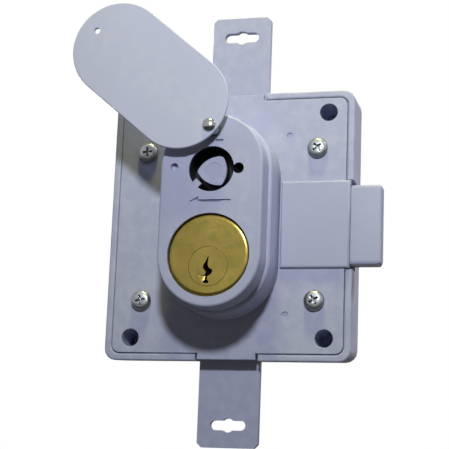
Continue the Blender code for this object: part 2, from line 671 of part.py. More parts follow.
def make_housing(make):
    """The cast boss housing that holds the spindle and the cylinder."""
    foot_y = FACE_Y - BOSS_FOOT_HEIGHT
    housing = make.plate("boss_housing", [stadium(BOSS_X, -BOSS_Z, BOSS_Z, BOSS_FOOT_RADIUS)],
                         foot_y, FACE_Y - GAP)
    half = (FACE_Y - GAP - foot_y) / 2
    bevel_level(housing, half, BOSS_FOOT_EDGE, 2)
    upper = make.plate("boss_upper", [stadium(BOSS_X, -BOSS_Z, BOSS_Z, BOSS_RADIUS)], BOSS_FRONT_Y, foot_y + BITE)
    bevel_level(upper, (foot_y + BITE - BOSS_FRONT_Y) / 2, BOSS_EDGE, 3)
    make.join(housing, upper)
    make.cut(housing, make.rod("cylinder_bore", (BOSS_X, CYLINDER_Z), CYLINDER_RADIUS + GAP,
                               BOSS_FRONT_Y - BITE, FACE_Y + BITE, CYLINDER_SIDES))
    make.cut(housing, make.plate("key_recess", [recess_outline()], BOSS_FRONT_Y - BITE, RECESS_Y))
    make.cut(housing, make.rod("spindle_bore", (BOSS_X, SPINDLE_Z), JOURNAL_RADIUS + GAP,
                               RECESS_Y - BITE, FACE_Y + BITE, SHAFT_SIDES))
    core = arc((BOSS_X, SPINDLE_Z), CORE_OUTER, 90 - CORE_SPREAD, 90 + CORE_SPREAD, 10)
    core += arc((BOSS_X, SPINDLE_Z), CORE_INNER, 90 + CORE_SPREAD, 90 - CORE_SPREAD, 8)
    make.cut(housing, make.plate("casting_core", [core], BOSS_FRONT_Y + CORE_FRONT_WALL, FACE_Y + BITE))
    reach = FACE_Y - SMALL_SCREW_LENGTH - GAP
    for index, place in enumerate(housing_screws()):
        make.cut(housing, make.rod(f"housing_screw_hole_{index}", place, SMALL_SCREW_RADIUS + GAP,
                                   reach, FACE_Y + BITE, SMALL_SIDES))
    make.cut(housing, make.rod("rivet_hole", (RIVET_X, RIVET_Z), RIVET_RADIUS + GAP,
                               BOSS_FRONT_Y - BITE, BOSS_FRONT_Y + RIVET_SHANK + GAP, SMALL_SIDES))
    make.cut(housing, make.rod("cast_mark", (BOSS_X - MARK_X, MARK_Z), MARK_RADIUS,
                               BOSS_FRONT_Y - BITE, BOSS_FRONT_Y + MARK_DEPTH))
    left = BOSS_X - ARROW_LENGTH / 2
    neck = left + ARROW_HEAD
    half_shaft, half_head = ARROW_SHAFT_WIDTH / 2, ARROW_HEAD_WIDTH / 2
    right = left + ARROW_LENGTH
    arrow = [(left, ARROW_Z), (neck, ARROW_Z - half_head), (neck, ARROW_Z - half_shaft), (right, ARROW_Z - half_shaft)]
    arrow += [(right, ARROW_Z + half_shaft), (neck, ARROW_Z + half_shaft), (neck, ARROW_Z + half_head)]
    make.cut(housing, make.plate("arrow", [arrow], BOSS_FRONT_Y - BITE, BOSS_FRONT_Y + ARROW_DEPTH))
    return make.finish(housing, PAINT, 0.42, 0.0)


def pan_profile(seat, side, radius, head_radius, head_height, length):
    """Profile of a pan head screw, its head in front of the seat level for side -1 and behind it for side 1."""
    crown = ((0, 1), (0.55, 0.96), (0.86, 0.72), (1, 0.3), (1, 0))
    profile = [(share * head_radius, seat + side * height * head_height) for share, height in crown]
    profile += [(radius, seat), (radius, seat - side * length), (0, seat - side * length)]
    if side > 0:
        profile.reverse()
    return profile


def cross(centre, length, width):
    """Outline of a cross recess."""
    long, short = length / 2, width / 2
    arm = [(long, -short), (long, short), (short, short)]
    points = []
    for quarter in range(4):
        turn = Matrix.Rotation(quarter * math.pi / 2, 2)
        points += [tuple(Vector(centre) + turn @ Vector(point)) for point in arm]
    return points


def make_screw(make, name, place, seat, side, sizes, segments, recess):
    """A pan head screw with a cross recess; sizes are its radius, head radius, head height and length."""
    radius, head_radius, head_height, length = sizes
    profile = pan_profile(seat, side, radius, head_radius, head_height, length)
    screw = make.turned(name, profile, (place[0], 0, place[1]), segments)
    top = seat + side * head_height
    near, far = sorted((top + side * BITE, top - side * min(recess[2], CROSS_SHARE * head_height)))
    make.cut(screw, make.plate(name + "_cross", [cross(place, recess[0], recess[1])], near, far))
    return make.finish(screw, ZINC, 0.3, 0.9)


def make_fasteners(make):
    """The cover screws, and the screws behind the cover that hold the housing and the cylinder."""
    cover = (SCREW_RADIUS, SCREW_HEAD_RADIUS, SCREW_HEAD_HEIGHT, SCREW_LENGTH)
    recess = (CROSS_LENGTH, CROSS_WIDTH, CROSS_DEPTH)
    for index, place in enumerate(corners(SCREW_X, SCREW_Z), start=1):
        make_screw(make, f"cover_screw_{index}", place, FACE_Y - GAP, -1, cover, SHAFT_SIDES, recess)
    seat = COVER_BACK_Y + GAP
    small = tuple(size * SMALL_HEAD_RADIUS / SCREW_HEAD_RADIUS for size in recess)
    housing = (SMALL_SCREW_RADIUS, SMALL_HEAD_RADIUS, SMALL_HEAD_HEIGHT, SMALL_SCREW_LENGTH + COVER_THICKNESS)
    for index, place in enumerate(housing_screws(), start=1):
        make_screw(make, f"housing_screw_{index}", place, seat, 1, housing, SCREW_SIDES, small)
    cylinder = (CYLINDER_SCREW_RADIUS, CYLINDER_HEAD_RADIUS, CYLINDER_HEAD_HEIGHT,
                CYLINDER_SCREW_LENGTH + COVER_THICKNESS)
    tiny = tuple(size * CYLINDER_HEAD_RADIUS / SCREW_HEAD_RADIUS for size in recess)
    for index, place in enumerate(cylinder_screws(), start=1):
        make_screw(make, f"cylinder_screw_{index}", place, seat, 1, cylinder, SCREW_SIDES, tiny)


def make_spindle(make):
    """The triangular spindle, its pinion and the clip that holds them."""
    front = BOSS_FRONT_Y + TRIANGLE_SETBACK
    collar_back = RECESS_Y - GAP
    collar_front = collar_back - COLLAR_THICKNESS
    groove = TAIL_JOURNAL_RADIUS - CLIP_GROOVE_DEPTH
    end = FLOOR_Y - BEARING_FLOOR
    profile = [(0, collar_front), (COLLAR_RADIUS, collar_front), (COLLAR_RADIUS, collar_back)]
    profile += [(JOURNAL_RADIUS, collar_back), (JOURNAL_RADIUS, SEAT_Y), (TAIL_JOURNAL_RADIUS, SEAT_Y)]
    profile += [(TAIL_JOURNAL_RADIUS, CLIP_FRONT_Y - GAP / 2), (groove, CLIP_FRONT_Y - GAP / 2)]
    profile += [(groove, CLIP_BACK_Y + GAP / 2), (TAIL_JOURNAL_RADIUS, CLIP_BACK_Y + GAP / 2)]
    profile += [(TAIL_JOURNAL_RADIUS, end), (0, end)]
    spindle = make.turned("spindle", profile, SPINDLE, SHAFT_SIDES)
    inner = TRIANGLE_RADIUS - TRIANGLE_CORNER
    outline = []
    for corner in (60, 180, 300):
        angle = math.radians(corner)
        centre = (BOSS_X + inner * math.cos(angle), SPINDLE_Z + inner * math.sin(angle))
        outline += arc(centre, TRIANGLE_CORNER, corner - 60, corner + 60, 5)
    triangle = make.plate("spindle_triangle", [outline], front, collar_front + COLLAR_THICKNESS / 2)
    bevel_level(triangle, (collar_front + COLLAR_THICKNESS / 2 - front) / 2, TRIANGLE_EDGE, 1)
    make.join(spindle, triangle)
    make.join(spindle, make.plate("spindle_square", [square((BOSS_X, SPINDLE_Z), SQUARE)],
                                  SEAT_Y - BITE, BAR_BACK_Y))
    make.cut(spindle, make.rod("spindle_mark", (BOSS_X, SPINDLE_Z), SPINDLE_MARK_RADIUS,
                               front - BITE, front + MARK_DEPTH))
    make.finish(spindle, ZINC, 0.35, 0.8)
    gear = gear_outline((BOSS_X, SPINDLE_Z), PINION_PHASE)
    pinion = make.plate("drive_pinion", [gear, square((BOSS_X, SPINDLE_Z), SQUARE + 2 * GAP)],
                        SEAT_Y, BAR_BACK_Y, SPINDLE)
    make.finish(pinion, STEEL, 0.4, 0.9)
    centre = (BOSS_X, SPINDLE_Z)
    half = CLIP_MOUTH / 2
    ring = arc(centre, CLIP_RADIUS, 90 + half, 450 - half, SHAFT_SIDES)
    ring += arc(centre, groove + GAP, 450 - half, 90 + half, SCREW_SIDES)
    clip = make.plate("spindle_clip", [ring], CLIP_FRONT_Y, CLIP_BACK_Y, SPINDLE)
    make.finish(clip, STEEL, 0.35, 0.9)


def pin_places():
    """The five pin places along the cylinder's depth."""
    return [CYLINDER_FRONT_Y + PIN_FIRST + index * PIN_PITCH for index in range(PIN_COUNT)]


def make_cylinder(make):
    """The brass cylinder with its plug, pins, springs, strip, cam gear and cam screw."""
    shear = PLUG_Z + PLUG_RADIUS
    top = CYLINDER_Z + CYLINDER_RADIUS
    strip_low = top - STRIP_COVER - STRIP_THICKNESS
    body = make.rod("cylinder_body", (BOSS_X, CYLINDER_Z), CYLINDER_RADIUS, CYLINDER_FRONT_Y, CYLINDER_BACK_Y,
                    CYLINDER_SIDES)
    make.cut(body, make.rod("plug_bore", (BOSS_X, PLUG_Z), PLUG_RADIUS + GAP,
                            CYLINDER_FRONT_Y - BITE, CYLINDER_BACK_Y + BITE, PLUG_SIDES))
    hole = PIN_RADIUS + GAP
    for index, level in enumerate(pin_places(), start=1):
        make.cut(body, make.upright_rod(f"chamber_{index}", (BOSS_X, level), hole, shear - BITE, top + BITE))
    reach = PIN_RADIUS + 2 * GAP
    strip_front, strip_back = pin_places()[0] - reach, pin_places()[-1] + reach
    half = STRIP_WIDTH / 2
    make.cut(body, make.block("strip_slot", (BOSS_X - half - GAP, strip_front - GAP, strip_low - GAP),
                              (BOSS_X + half + GAP, strip_back + GAP, top + BITE)))
    depth = CYLINDER_BACK_Y - CYLINDER_SCREW_LENGTH - GAP
    for index, place in enumerate(cylinder_screws()):
        make.cut(body, make.rod(f"cylinder_screw_hole_{index}", place, CYLINDER_SCREW_RADIUS + GAP,
                                depth, CYLINDER_BACK_Y + BITE, SMALL_SIDES))
    make.finish(body, BRASS, 0.35, 0.9)
    strip = make.block("chamber_strip", (BOSS_X - half, strip_front, strip_low),
                       (BOSS_X + half, strip_back, strip_low + STRIP_THICKNESS))
    make.finish(strip, BRASS, 0.4, 0.9)
    make_plug(make)
    make_pins(make, shear, strip_low)


def make_plug(make):
    """The plug with its keyway, pin holes and square tang, the cam gear on the tang, and the cam screw."""
    tang_back = BOLT_BACK_Y - CAM_HEAD_HEIGHT - GAP
    plug = make.rod("cylinder_plug", (BOSS_X, PLUG_Z), PLUG_RADIUS, CYLINDER_FRONT_Y, CYLINDER_BACK_Y,
                    PLUG_SIDES, PLUG)
    make.join(plug, make.plate("plug_tang", [square((BOSS_X, PLUG_Z), TANG)], CYLINDER_BACK_Y - BITE, tang_back))
    high, low = PLUG_Z + KEYWAY_TOP, PLUG_Z - PLUG_RADIUS - BITE
    middle, half = (high + low) / 2, KEYWAY_WIDTH / 2
    step = KEYWAY_STEP
    right = [(half, high), (half, middle + 2 * step), (half + step, middle + step), (half, middle)]
    right += [(half - step, middle - step), (half, middle - 2 * step), (half, low)]
    left = [(x - KEYWAY_WIDTH, z) for x, z in reversed(right)]
    keyway = [(BOSS_X + x, z) for x, z in right + left]
    make.cut(plug, make.plate("keyway", [keyway], CYLINDER_FRONT_Y - BITE, CYLINDER_FRONT_Y + KEYWAY_DEPTH))
    shear = PLUG_Z + PLUG_RADIUS
    for index, level in enumerate(pin_places(), start=1):
        make.cut(plug, make.upright_rod(f"plug_hole_{index}", (BOSS_X, level), PIN_RADIUS + GAP,
                                        shear - KEY_PIN_LENGTH - 2 * GAP, shear + BITE))
    make.cut(plug, make.rod("cam_screw_hole", (BOSS_X, PLUG_Z), SMALL_SCREW_RADIUS + GAP,
                            tang_back - CAM_SCREW_LENGTH - GAP, tang_back + BITE, SMALL_SIDES))
    make.finish(plug, BRASS, 0.3, 0.9)
    outline = gear_outline((BOSS_X, PLUG_Z), CAM_PHASE)
    cam = make.plate("cam_gear", [outline, square((BOSS_X, PLUG_Z), TANG + 2 * GAP)], SEAT_Y, BOLT_BACK_Y, PLUG)
    make.cut(cam, make.rod("cam_head_room", (BOSS_X, PLUG_Z), CAM_HEAD_RADIUS + GAP,
                           tang_back, BOLT_BACK_Y + BITE, SHAFT_SIDES))
    make.finish(cam, STEEL, 0.4, 0.9)
    seat = tang_back + GAP
    screw = make.turned("cam_screw", pan_profile(seat, 1, SMALL_SCREW_RADIUS, CAM_HEAD_RADIUS, CAM_HEAD_HEIGHT,
                                                 CAM_SCREW_LENGTH), PLUG, ROUND_SIDES)
    make.finish(screw, ZINC, 0.3, 0.9)


def make_pins(make, shear, ceiling):
    """Key pins in the plug, driver pins and their springs in the body's chambers."""
    driver_low = shear + 2 * GAP
    driver_high = driver_low + DRIVER_LENGTH
    spring_low = driver_high + GAP + SPRING_WIRE
    spring_high = ceiling - GAP - SPRING_WIRE
    steps = SPRING_TURNS * SPRING_SIDES
    coil = PIN_RADIUS - SPRING_WIRE
    for index, level in enumerate(pin_places(), start=1):
        key_high = shear - GAP
        pin = make.upright_rod(f"key_pin_{index}", (BOSS_X, level), PIN_RADIUS, key_high - KEY_PIN_LENGTH, key_high)
        make.finish(pin, BRASS, 0.3, 0.9)
        driver = make.upright_rod(f"driver_pin_{index}", (BOSS_X, level), PIN_RADIUS, driver_low, driver_high)
        make.finish(driver, STEEL, 0.3, 0.9)
        curve = bpy.data.curves.new(f"pin_spring_{index}", "CURVE")
        curve.dimensions = "3D"
        curve.bevel_depth = SPRING_WIRE
        curve.bevel_resolution = 1
        curve.use_fill_caps = True
        spline = curve.splines.new("POLY")
        spline.points.add(steps)
        for step, point in enumerate(spline.points):
            angle = 2 * math.pi * step / SPRING_SIDES
            height = (spring_high - spring_low) * step / steps
            point.co = (coil * math.cos(angle), coil * math.sin(angle), height, 1)
        spring = bpy.data.objects.new(f"pin_spring_{index}", curve)
        spring.location = (BOSS_X, level, spring_low)
        make.parts.objects.link(spring)
        curve.materials.append(material(spring.name, STEEL, 0.3, 0.9))


def make_bolt(make):
    """The side bolt with a rack on each edge of its tail, and a thick nose that clears the band when drawn."""
    start, end = -TAIL_REACH + GAP, TRAVEL + RACK_SPARE + TOOTH_PITCH / 2
    tip, head = BOLT_TIP_X, BOSS_X + end + BOLT_NECK
    high, low = BOLT_Z + BOLT_HEIGHT / 2, BOLT_Z - BOLT_HEIGHT / 2
    top_line, bottom_line = SPINDLE_Z - PITCH_RADIUS, PLUG_Z + PITCH_RADIUS
    left = BOSS_X - TAIL_REACH
    shift = rack_shift(-math.pi / 2, PINION_PHASE)
    top = [(BOSS_X + along, top_line + height) for along, height in rack_profile(start, end, shift)]
    bottom = [(BOSS_X + along, bottom_line - height) for along, height in rack_profile(start, end, shift)]
    outline = [(left, top_line - DEDENDUM)] + top
    outline += [(head, top_line - DEDENDUM), (head, high), (tip - BITE, high), (tip - BITE, low), (head, low)]
    outline += [(head, bottom_line + DEDENDUM)] + bottom[::-1] + [(left, bottom_line + DEDENDUM)]
    origin = (BOSS_X, 0, BOLT_Z)
    bolt = make.plate("bolt", [outline], TAIL_FRONT_Y, BOLT_BACK_Y, origin)
    nose_left = BAND_LEFT + COVER_THICKNESS + TRAVEL + BOLT_RUNOUT
    nose = make.block("bolt_nose", (nose_left, BOLT_FRONT_Y, low), (tip, BOLT_BACK_Y, high))
    shape = bmesh.new()
    shape.from_mesh(nose.data)
    edges = [edge for edge in shape.edges
             if all(vert.co.y < 0 for vert in edge.verts) or all(vert.co.x > 0 for vert in edge.verts)]
    bmesh.ops.bevel(shape, geom=edges, offset=BOLT_EDGE, segments=2, profile=0.5, affect="EDGES")
    shape.to_mesh(nose.data)
    shape.free()
    make.join(bolt, nose)
    make.finish(bolt, PAINT, 0.42, 0.0)


def bar_slot(z):
    """Outline of a bar's fixing slot: a long slot with a round eye in its middle."""
    half = BAR_SLOT_LENGTH / 2
    end = BAR_SLOT_WIDTH / 2
    turn = math.degrees(math.asin(end / BAR_SLOT_EYE))
    points = arc((BAR_X + half - end, z), end, -90, 90, 8)
    points += arc((BAR_X, z), BAR_SLOT_EYE, turn, 180 - turn, 6)
    points += arc((BAR_X - half + end, z), end, 90, 270, 8)
    points += arc((BAR_X, z), BAR_SLOT_EYE, 180 + turn, 360 - turn, 6)
    return points


def make_bars(make):
    """The top and bottom bars, each with a rack leg; the top one is notched for the bottom one's leg."""
    left, right = BAR_X - BAR_WIDTH / 2, BAR_X + BAR_WIDTH / 2
    spans = leg_spans()
    ends = ((1, "top_bar", TOP_BAR_END, spans[0]), (-1, "bottom_bar", BOTTOM_BAR_END, spans[1]))
    for side, name, reach, (leg_low, leg_high) in ends:
        line = BOSS_X + side * PITCH_RADIUS
        root, outer = line + side * DEDENDUM, leg_outer(side)
        shoulder, tip = (leg_high, leg_low) if side > 0 else (leg_low, leg_high)
        direction = 0 if side > 0 else math.pi
        low, high = (-RACK_SPARE - TOOTH_PITCH / 2, TRAVEL + RACK_SPARE + TOOTH_PITCH / 2)
        steps = rack_profile(low, high, rack_shift(direction, PINION_PHASE))
        teeth = [(line - side * height, SPINDLE_Z + side * along) for along, height in steps]
        inner_edge = left if side > 0 else right
        corner = BAR_CORNER
        end = side * reach
        near, far = (right, left) if side > 0 else (left, right)
        neck = shoulder + side * CROSSPIECE
        outline = [(outer, tip), (outer, neck), (near, neck), (near, end - side * corner)]
        outline += [(near - side * corner, end), (far + side * corner, end), (far, end - side * corner)]
        if side > 0:
            clear = spans[1][1] + 2 * TRAVEL + GAP
            outline += [(inner_edge, clear)]
            inner_edge = BOSS_X - PITCH_RADIUS + ADDENDUM + GAP
            outline += [(inner_edge, clear)]
        outline += [(inner_edge, shoulder), (root, shoulder)] + teeth[::-1] + [(root, tip)]
        slot = bar_slot(end - side * BAR_SLOT_INSET)
        bar = make.plate(name, [outline, slot], BAR_FRONT_Y, BAR_BACK_Y, (BAR_X, 0, end - side * BAR_SLOT_INSET))
        make.finish(bar, PAINT, 0.42, 0.0)


def make_flap(make):
    """The swinging flap over the key holes, and its rivet, whose shoulder holds the flap off the boss."""
    angle = math.radians(FLAP_ANGLE)
    along = Vector((math.cos(angle), math.sin(angle)))
    pivot = Vector((RIVET_X, RIVET_Z))
    near = pivot + along * (FLAP_RADIUS - RIVET_INSET)
    far = near + along * 2 * BOSS_Z
    outline = arc(near, FLAP_RADIUS, FLAP_ANGLE + 90, FLAP_ANGLE + 270, ROUND_SIDES)
    outline += arc(far, FLAP_RADIUS, FLAP_ANGLE - 90, FLAP_ANGLE + 90, ROUND_SIDES)
    eye = far + along * (FLAP_RADIUS - FLAP_HOLE_INSET)
    holes = [circle(pivot, RIVET_RADIUS + GAP), circle(eye, FLAP_HOLE_RADIUS, SMALL_SIDES)]
    flap = make.plate("flap", [outline, *holes], FLAP_FRONT_Y, FLAP_BACK_Y, RIVET)
    make.finish(flap, PAINT_DARK, 0.4, 0.0)
    seat = FLAP_FRONT_Y - GAP
    dome = [(RIVET_HEAD_RADIUS * math.sin(math.radians(step)),
             seat - RIVET_HEAD_HEIGHT * math.cos(math.radians(step))) for step in (0, 30, 60, 90)]
    profile = dome + [(RIVET_RADIUS, seat), (RIVET_RADIUS, FLAP_BACK_Y + GAP)]
    profile += [(RIVET_SHOULDER_RADIUS, FLAP_BACK_Y + GAP), (RIVET_SHOULDER_RADIUS, BOSS_FRONT_Y - GAP)]
    profile += [(RIVET_RADIUS, BOSS_FRONT_Y - GAP), (RIVET_RADIUS, BOSS_FRONT_Y + RIVET_SHANK)]
    profile += [(0, BOSS_FRONT_Y + RIVET_SHANK)]
    rivet = make.turned("flap_rivet", profile, RIVET, SHAFT_SIDES)
    make.finish(rivet, ZINC, 0.3, 0.8)


def main():
    """Build every piece of the lock."""
    clear_scene()
    make = Builder()
    make_case(make)
    make_cover(make)
    make_fasteners(make)
    make_housing(make)
    make_spindle(make)
    make_cylinder(make)
    make_bolt(make)
    make_bars(make)
    make_flap(make)


main()
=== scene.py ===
"""Visual model of a meter box lock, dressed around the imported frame.

Sizes are in millimetres inside the sub-assemblies. A finished piece is scaled to metres when it is made.
"""

import json
import logging
import math
from collections.abc import Callable
from dataclasses import dataclass, replace
from enum import Enum

import bmesh
import bpy
from mathutils import Matrix, Vector


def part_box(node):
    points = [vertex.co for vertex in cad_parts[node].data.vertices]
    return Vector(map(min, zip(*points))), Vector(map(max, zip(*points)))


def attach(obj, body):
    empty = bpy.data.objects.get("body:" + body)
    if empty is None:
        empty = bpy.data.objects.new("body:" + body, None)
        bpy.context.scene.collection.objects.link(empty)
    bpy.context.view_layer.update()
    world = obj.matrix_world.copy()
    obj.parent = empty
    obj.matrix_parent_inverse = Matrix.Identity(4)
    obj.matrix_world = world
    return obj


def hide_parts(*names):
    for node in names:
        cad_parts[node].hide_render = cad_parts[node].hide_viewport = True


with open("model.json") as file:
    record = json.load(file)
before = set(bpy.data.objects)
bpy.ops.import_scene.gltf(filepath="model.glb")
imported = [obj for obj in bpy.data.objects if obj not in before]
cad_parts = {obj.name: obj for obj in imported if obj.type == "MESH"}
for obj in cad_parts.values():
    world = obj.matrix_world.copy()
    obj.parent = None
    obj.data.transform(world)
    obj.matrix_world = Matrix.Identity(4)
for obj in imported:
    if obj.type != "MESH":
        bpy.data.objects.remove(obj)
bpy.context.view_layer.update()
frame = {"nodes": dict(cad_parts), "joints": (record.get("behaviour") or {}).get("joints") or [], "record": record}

LOG = logging.getLogger("meter_box_lock")

# Distances for welding, for finding a level, for tools to reach past a face and to span a shaft
MM = 0.001
WELD = 0.002
LEVEL = 0.01
BITE = 1.0
SPAN = 20.0

# Angles that count as an edge and as flat, and the layer that marks rounded edges
SHARP = math.radians(34)
FLAT = math.radians(0.5)
EDGE_LAYER = "edge"

# Kinds of group sockets by the count of their values
SOCKET_KINDS = {1: "NodeSocketFloat", 3: "NodeSocketVector", 4: "NodeSocketColor"}

Point = tuple[float, float]
Place = tuple[float, float, float]
Colour = tuple[float, float, float, float]
Outline = list[Point]
Test = Callable[[Vector], bool]
Shape = bmesh.types.BMesh
Vert = bmesh.types.BMVert
Edge = bmesh.types.BMEdge
Node = bpy.types.Node
Socket = bpy.types.NodeSocket
Tree = bpy.types.NodeTree
Material = bpy.types.Material


class Slot(Enum):
    """The record's material slots."""

    PAINT = "paint"
    FLAP_PAINT = "flap_paint"
    ZINC = "zinc"
    STEEL = "steel"
    BRASS = "brass"


class Body(Enum):
    """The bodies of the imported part."""

    CASE = "lock_case"
    SPINDLE = "spindle_set"
    PLUG = "plug_set"
    BOLT = "side_bolt"
    TOP_BAR = "upper_bar"
    BOTTOM_BAR = "lower_bar"
    FLAP = "cover_flap"


@dataclass(frozen=True)
class Box:
    """The corners of a CAD node, in millimetres."""

    low: Vector
    high: Vector

    @property
    def middle(self) -> Vector:
        """The centre of the box."""
        return (self.low + self.high) / 2

    @property
    def size(self) -> Vector:
        """The width, depth and height of the box."""
        return self.high - self.low


def node_box(node: str) -> Box:
    """Reads a CAD node's box from the frame.

    Args:
        node: Name of the CAD node.

    Returns:
        Its box in millimetres.
    """
    low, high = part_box(node)
    return Box(low / MM, high / MM)


def pivot(joint: str) -> Point:
    """Reads a hinge's place from the frame.

    Args:
        joint: Name of the hinge, which turns about the y axis.

    Returns:
        Its x and z in millimetres.
    """
    for row in frame["joints"]:
        if row["name"] == joint:
            return row["pos_m"][0] / MM, row["pos_m"][2] / MM
    raise ValueError(f"the frame has no joint named {joint}")


def metres(point: Point) -> Place:
    """A point of the x-z plane as a place in metres."""
    return point[0] * MM, 0, point[1] * MM


def rotation(angle: float, axis: str) -> Matrix:
    """A turn by an angle in degrees about an axis."""
    return Matrix.Rotation(math.radians(angle), 4, axis)


def arc(centre: Point, radius: float, start: float, end: float, steps: int) -> Outline:
    """Points along an arc in the x-z plane.

    Args:
        centre: Centre of the arc.
        radius: Its radius.
        start: Angle of the first point in degrees, counter-clockwise from +x.
        end: Angle of the last point.
        steps: Number of stretches between the points.

    Returns:
        The points, both ends included.
    """
    turns = [math.radians(start + (end - start) * step / steps) for step in range(steps + 1)]
    return [(centre[0] + radius * math.cos(turn), centre[1] + radius * math.sin(turn)) for turn in turns]


def only(kind: type, items: list) -> list:
    """The items of one kind."""
    return [item for item in items if isinstance(item, kind)]


def prism(outline: Outline, front: float, back: float) -> Shape:
    """Extrudes an outline into a closed solid.

    Args:
        outline: Corners in the x-z plane.
        front: Level of the front face along y.
        back: Level of the back face.

    Returns:
        The solid.
    """
    shape = bmesh.new()
    face = shape.faces.new([shape.verts.new((x, front, z)) for x, z in outline])
    grown = bmesh.ops.extrude_face_region(shape, geom=[face])["geom"]
    bmesh.ops.translate(shape, verts=only(Vert, grown), vec=(0, back - front, 0))
    bmesh.ops.recalc_face_normals(shape, faces=shape.faces)
    return shape


def block(low: Place, high: Place) -> Shape:
    """Makes a box between its lowest and its highest corner."""
    shape = bmesh.new()
    low, high = Vector(low), Vector(high)
    place = Matrix.Translation((low + high) / 2) @ Matrix.Diagonal((*(high - low), 1))
    bmesh.ops.create_cube(shape, size=1.0, matrix=place)
    return shape


def string(shape: Shape, points: list[Vector]) -> list:
    """Adds a run of edges through points and returns its vertices and edges."""
    verts = [shape.verts.new(point) for point in points]
    return verts + [shape.edges.new(pair) for pair in zip(verts, verts[1:])]


def turned(profile: Outline, centre: Point, steps: int = 48) -> Shape:
    """Spins a profile about an axis along y.

    Args:
        profile: Pairs of radius and level, from the front to the back.
        centre: The axis in the x-z plane.
        steps: Number of stretches round the axis.

    Returns:
        The turned solid.
    """
    shape = bmesh.new()
    run = string(shape, [Vector((centre[0] + radius, level, centre[1])) for radius, level in profile])
    bmesh.ops.spin(shape, geom=run, cent=(centre[0], 0, centre[1]), axis=(0, -1, 0),
                   angle=math.tau, steps=steps, use_merge=True)
    bmesh.ops.remove_doubles(shape, verts=shape.verts, dist=WELD)
    bmesh.ops.recalc_face_normals(shape, faces=shape.faces)
    return shape


def rod(centre: Point, radius: float, front: float, back: float, steps: int = 48) -> Shape:
    """A plain round rod along y."""
    return turned([(0, front), (radius, front), (radius, back), (0, back)], centre, steps)


def oval(profile: Outline, first: Point, second: Point, steps: int = 32) -> Shape:
    """Carries a profile round an oval: half turns about two centres and straight runs between them.

    Args:
        profile: Pairs of radius and level, from the front to the back.
        first: The centre that the run ends at.
        second: The centre that it starts at.
        steps: Number of stretches in each half turn.

    Returns:
        The solid, its two flat ends filled.
    """
    shape = bmesh.new()
    along = Vector((second[0] - first[0], 0, second[1] - first[1]))
    side = Vector((along.z, 0, -along.x)).normalized()
    geom = string(shape, [Vector((second[0], level, second[1])) + side * radius for radius, level in profile])
    for centre, shift in ((second, -along), (first, along)):
        geom = bmesh.ops.spin(shape, geom=geom, cent=(centre[0], 0, centre[1]), axis=(0, -1, 0),
                              angle=math.pi, steps=steps)["geom_last"]
        grown = bmesh.ops.extrude_edge_only(shape, edges=only(Edge, geom))["geom"]
        moved = only(Vert, grown)
        bmesh.ops.translate(shape, verts=moved, vec=shift)
        fresh = set(moved)
        geom = moved + [edge for edge in only(Edge, grown) if fresh.issuperset(edge.verts)]
    bmesh.ops.remove_doubles(shape, verts=shape.verts, dist=WELD)
    bmesh.ops.holes_fill(shape, edges=[edge for edge in shape.edges if edge.is_boundary])
    bmesh.ops.recalc_face_normals(shape, faces=shape.faces)
    return shape


def cleaned(shape: Shape) -> Shape:
    """Welds a shape's doubles and makes its flat faces whole."""
    bmesh.ops.remove_doubles(shape, verts=shape.verts, dist=WELD)
    bmesh.ops.dissolve_limit(shape, angle_limit=FLAT, verts=shape.verts, edges=shape.edges)
    return shape


def cad_copy(node: str) -> Shape:
    """Copies a CAD node's mesh in millimetres.

    Args:
        node: Name of the CAD node.

    Returns:
        The copy.
    """
    shape = bmesh.new()
    shape.from_mesh(frame["nodes"][node].data)
    bmesh.ops.scale(shape, verts=shape.verts, vec=(1 / MM,) * 3)
    return cleaned(shape)


def mesh_of(name: str, shape: Shape) -> bpy.types.Mesh:
    """Writes a shape to a new mesh and frees the shape."""
    mesh = bpy.data.meshes.new(name)
    shape.to_mesh(mesh)
    shape.free()
    return mesh


def add_object(name: str, data: bpy.types.ID) -> bpy.types.Object:
    """Adds an object to the scene.

    Args:
        name: The object's name.
        data: Its mesh, camera or lamp.

    Returns:
        The object.
    """
    made = bpy.data.objects.new(name, data)
    bpy.context.scene.collection.objects.link(made)
    return made


def carve(shape: Shape, tool: Shape, operation: str) -> Shape:
    """Works one solid on another with a boolean.

    Args:
        shape: The solid under work, which is freed.
        tool: The other solid, which is freed too.
        operation: DIFFERENCE, UNION or INTERSECT.

    Returns:
        The result.
    """
    held = [add_object(name, mesh_of(name, form)) for name, form in (("work", shape), ("tool", tool))]
    boolean = held[0].modifiers.new("carve", "BOOLEAN")
    boolean.operation = operation
    boolean.solver = "EXACT"
    boolean.object = held[1]
    result = bmesh.new()
    result.from_object(held[0], bpy.context.evaluated_depsgraph_get())
    for thing in held:
        mesh = thing.data
        bpy.data.objects.remove(thing)
        bpy.data.meshes.remove(mesh)
    return cleaned(result)


def cut(shape: Shape, tool: Shape) -> Shape:
    """The shape with the tool's space cut out of it."""
    return carve(shape, tool, "DIFFERENCE")


def join(shape: Shape, tool: Shape) -> Shape:
    """The shape and the tool as one solid."""
    return carve(shape, tool, "UNION")


def rear_of(node: str, centre: Point, front: float) -> Shape:
    """Copies the part of a shaft that lies behind a level.

    Args:
        node: Name of the CAD node.
        centre: The shaft's axis.
        front: The level along y.

    Returns:
        The copy.
    """
    back = node_box(node).high.y + BITE
    keep = block((centre[0] - SPAN, front, centre[1] - SPAN), (centre[0] + SPAN, back, centre[1] + SPAN))
    return carve(cad_copy(node), keep, "INTERSECT")


def edge_layer(shape: Shape) -> bmesh.types.BMLayerItem:
    """The layer that marks rounded and rubbed edges for the finishes."""
    layers = shape.verts.layers.float
    return layers.get(EDGE_LAYER) or layers.new(EDGE_LAYER)


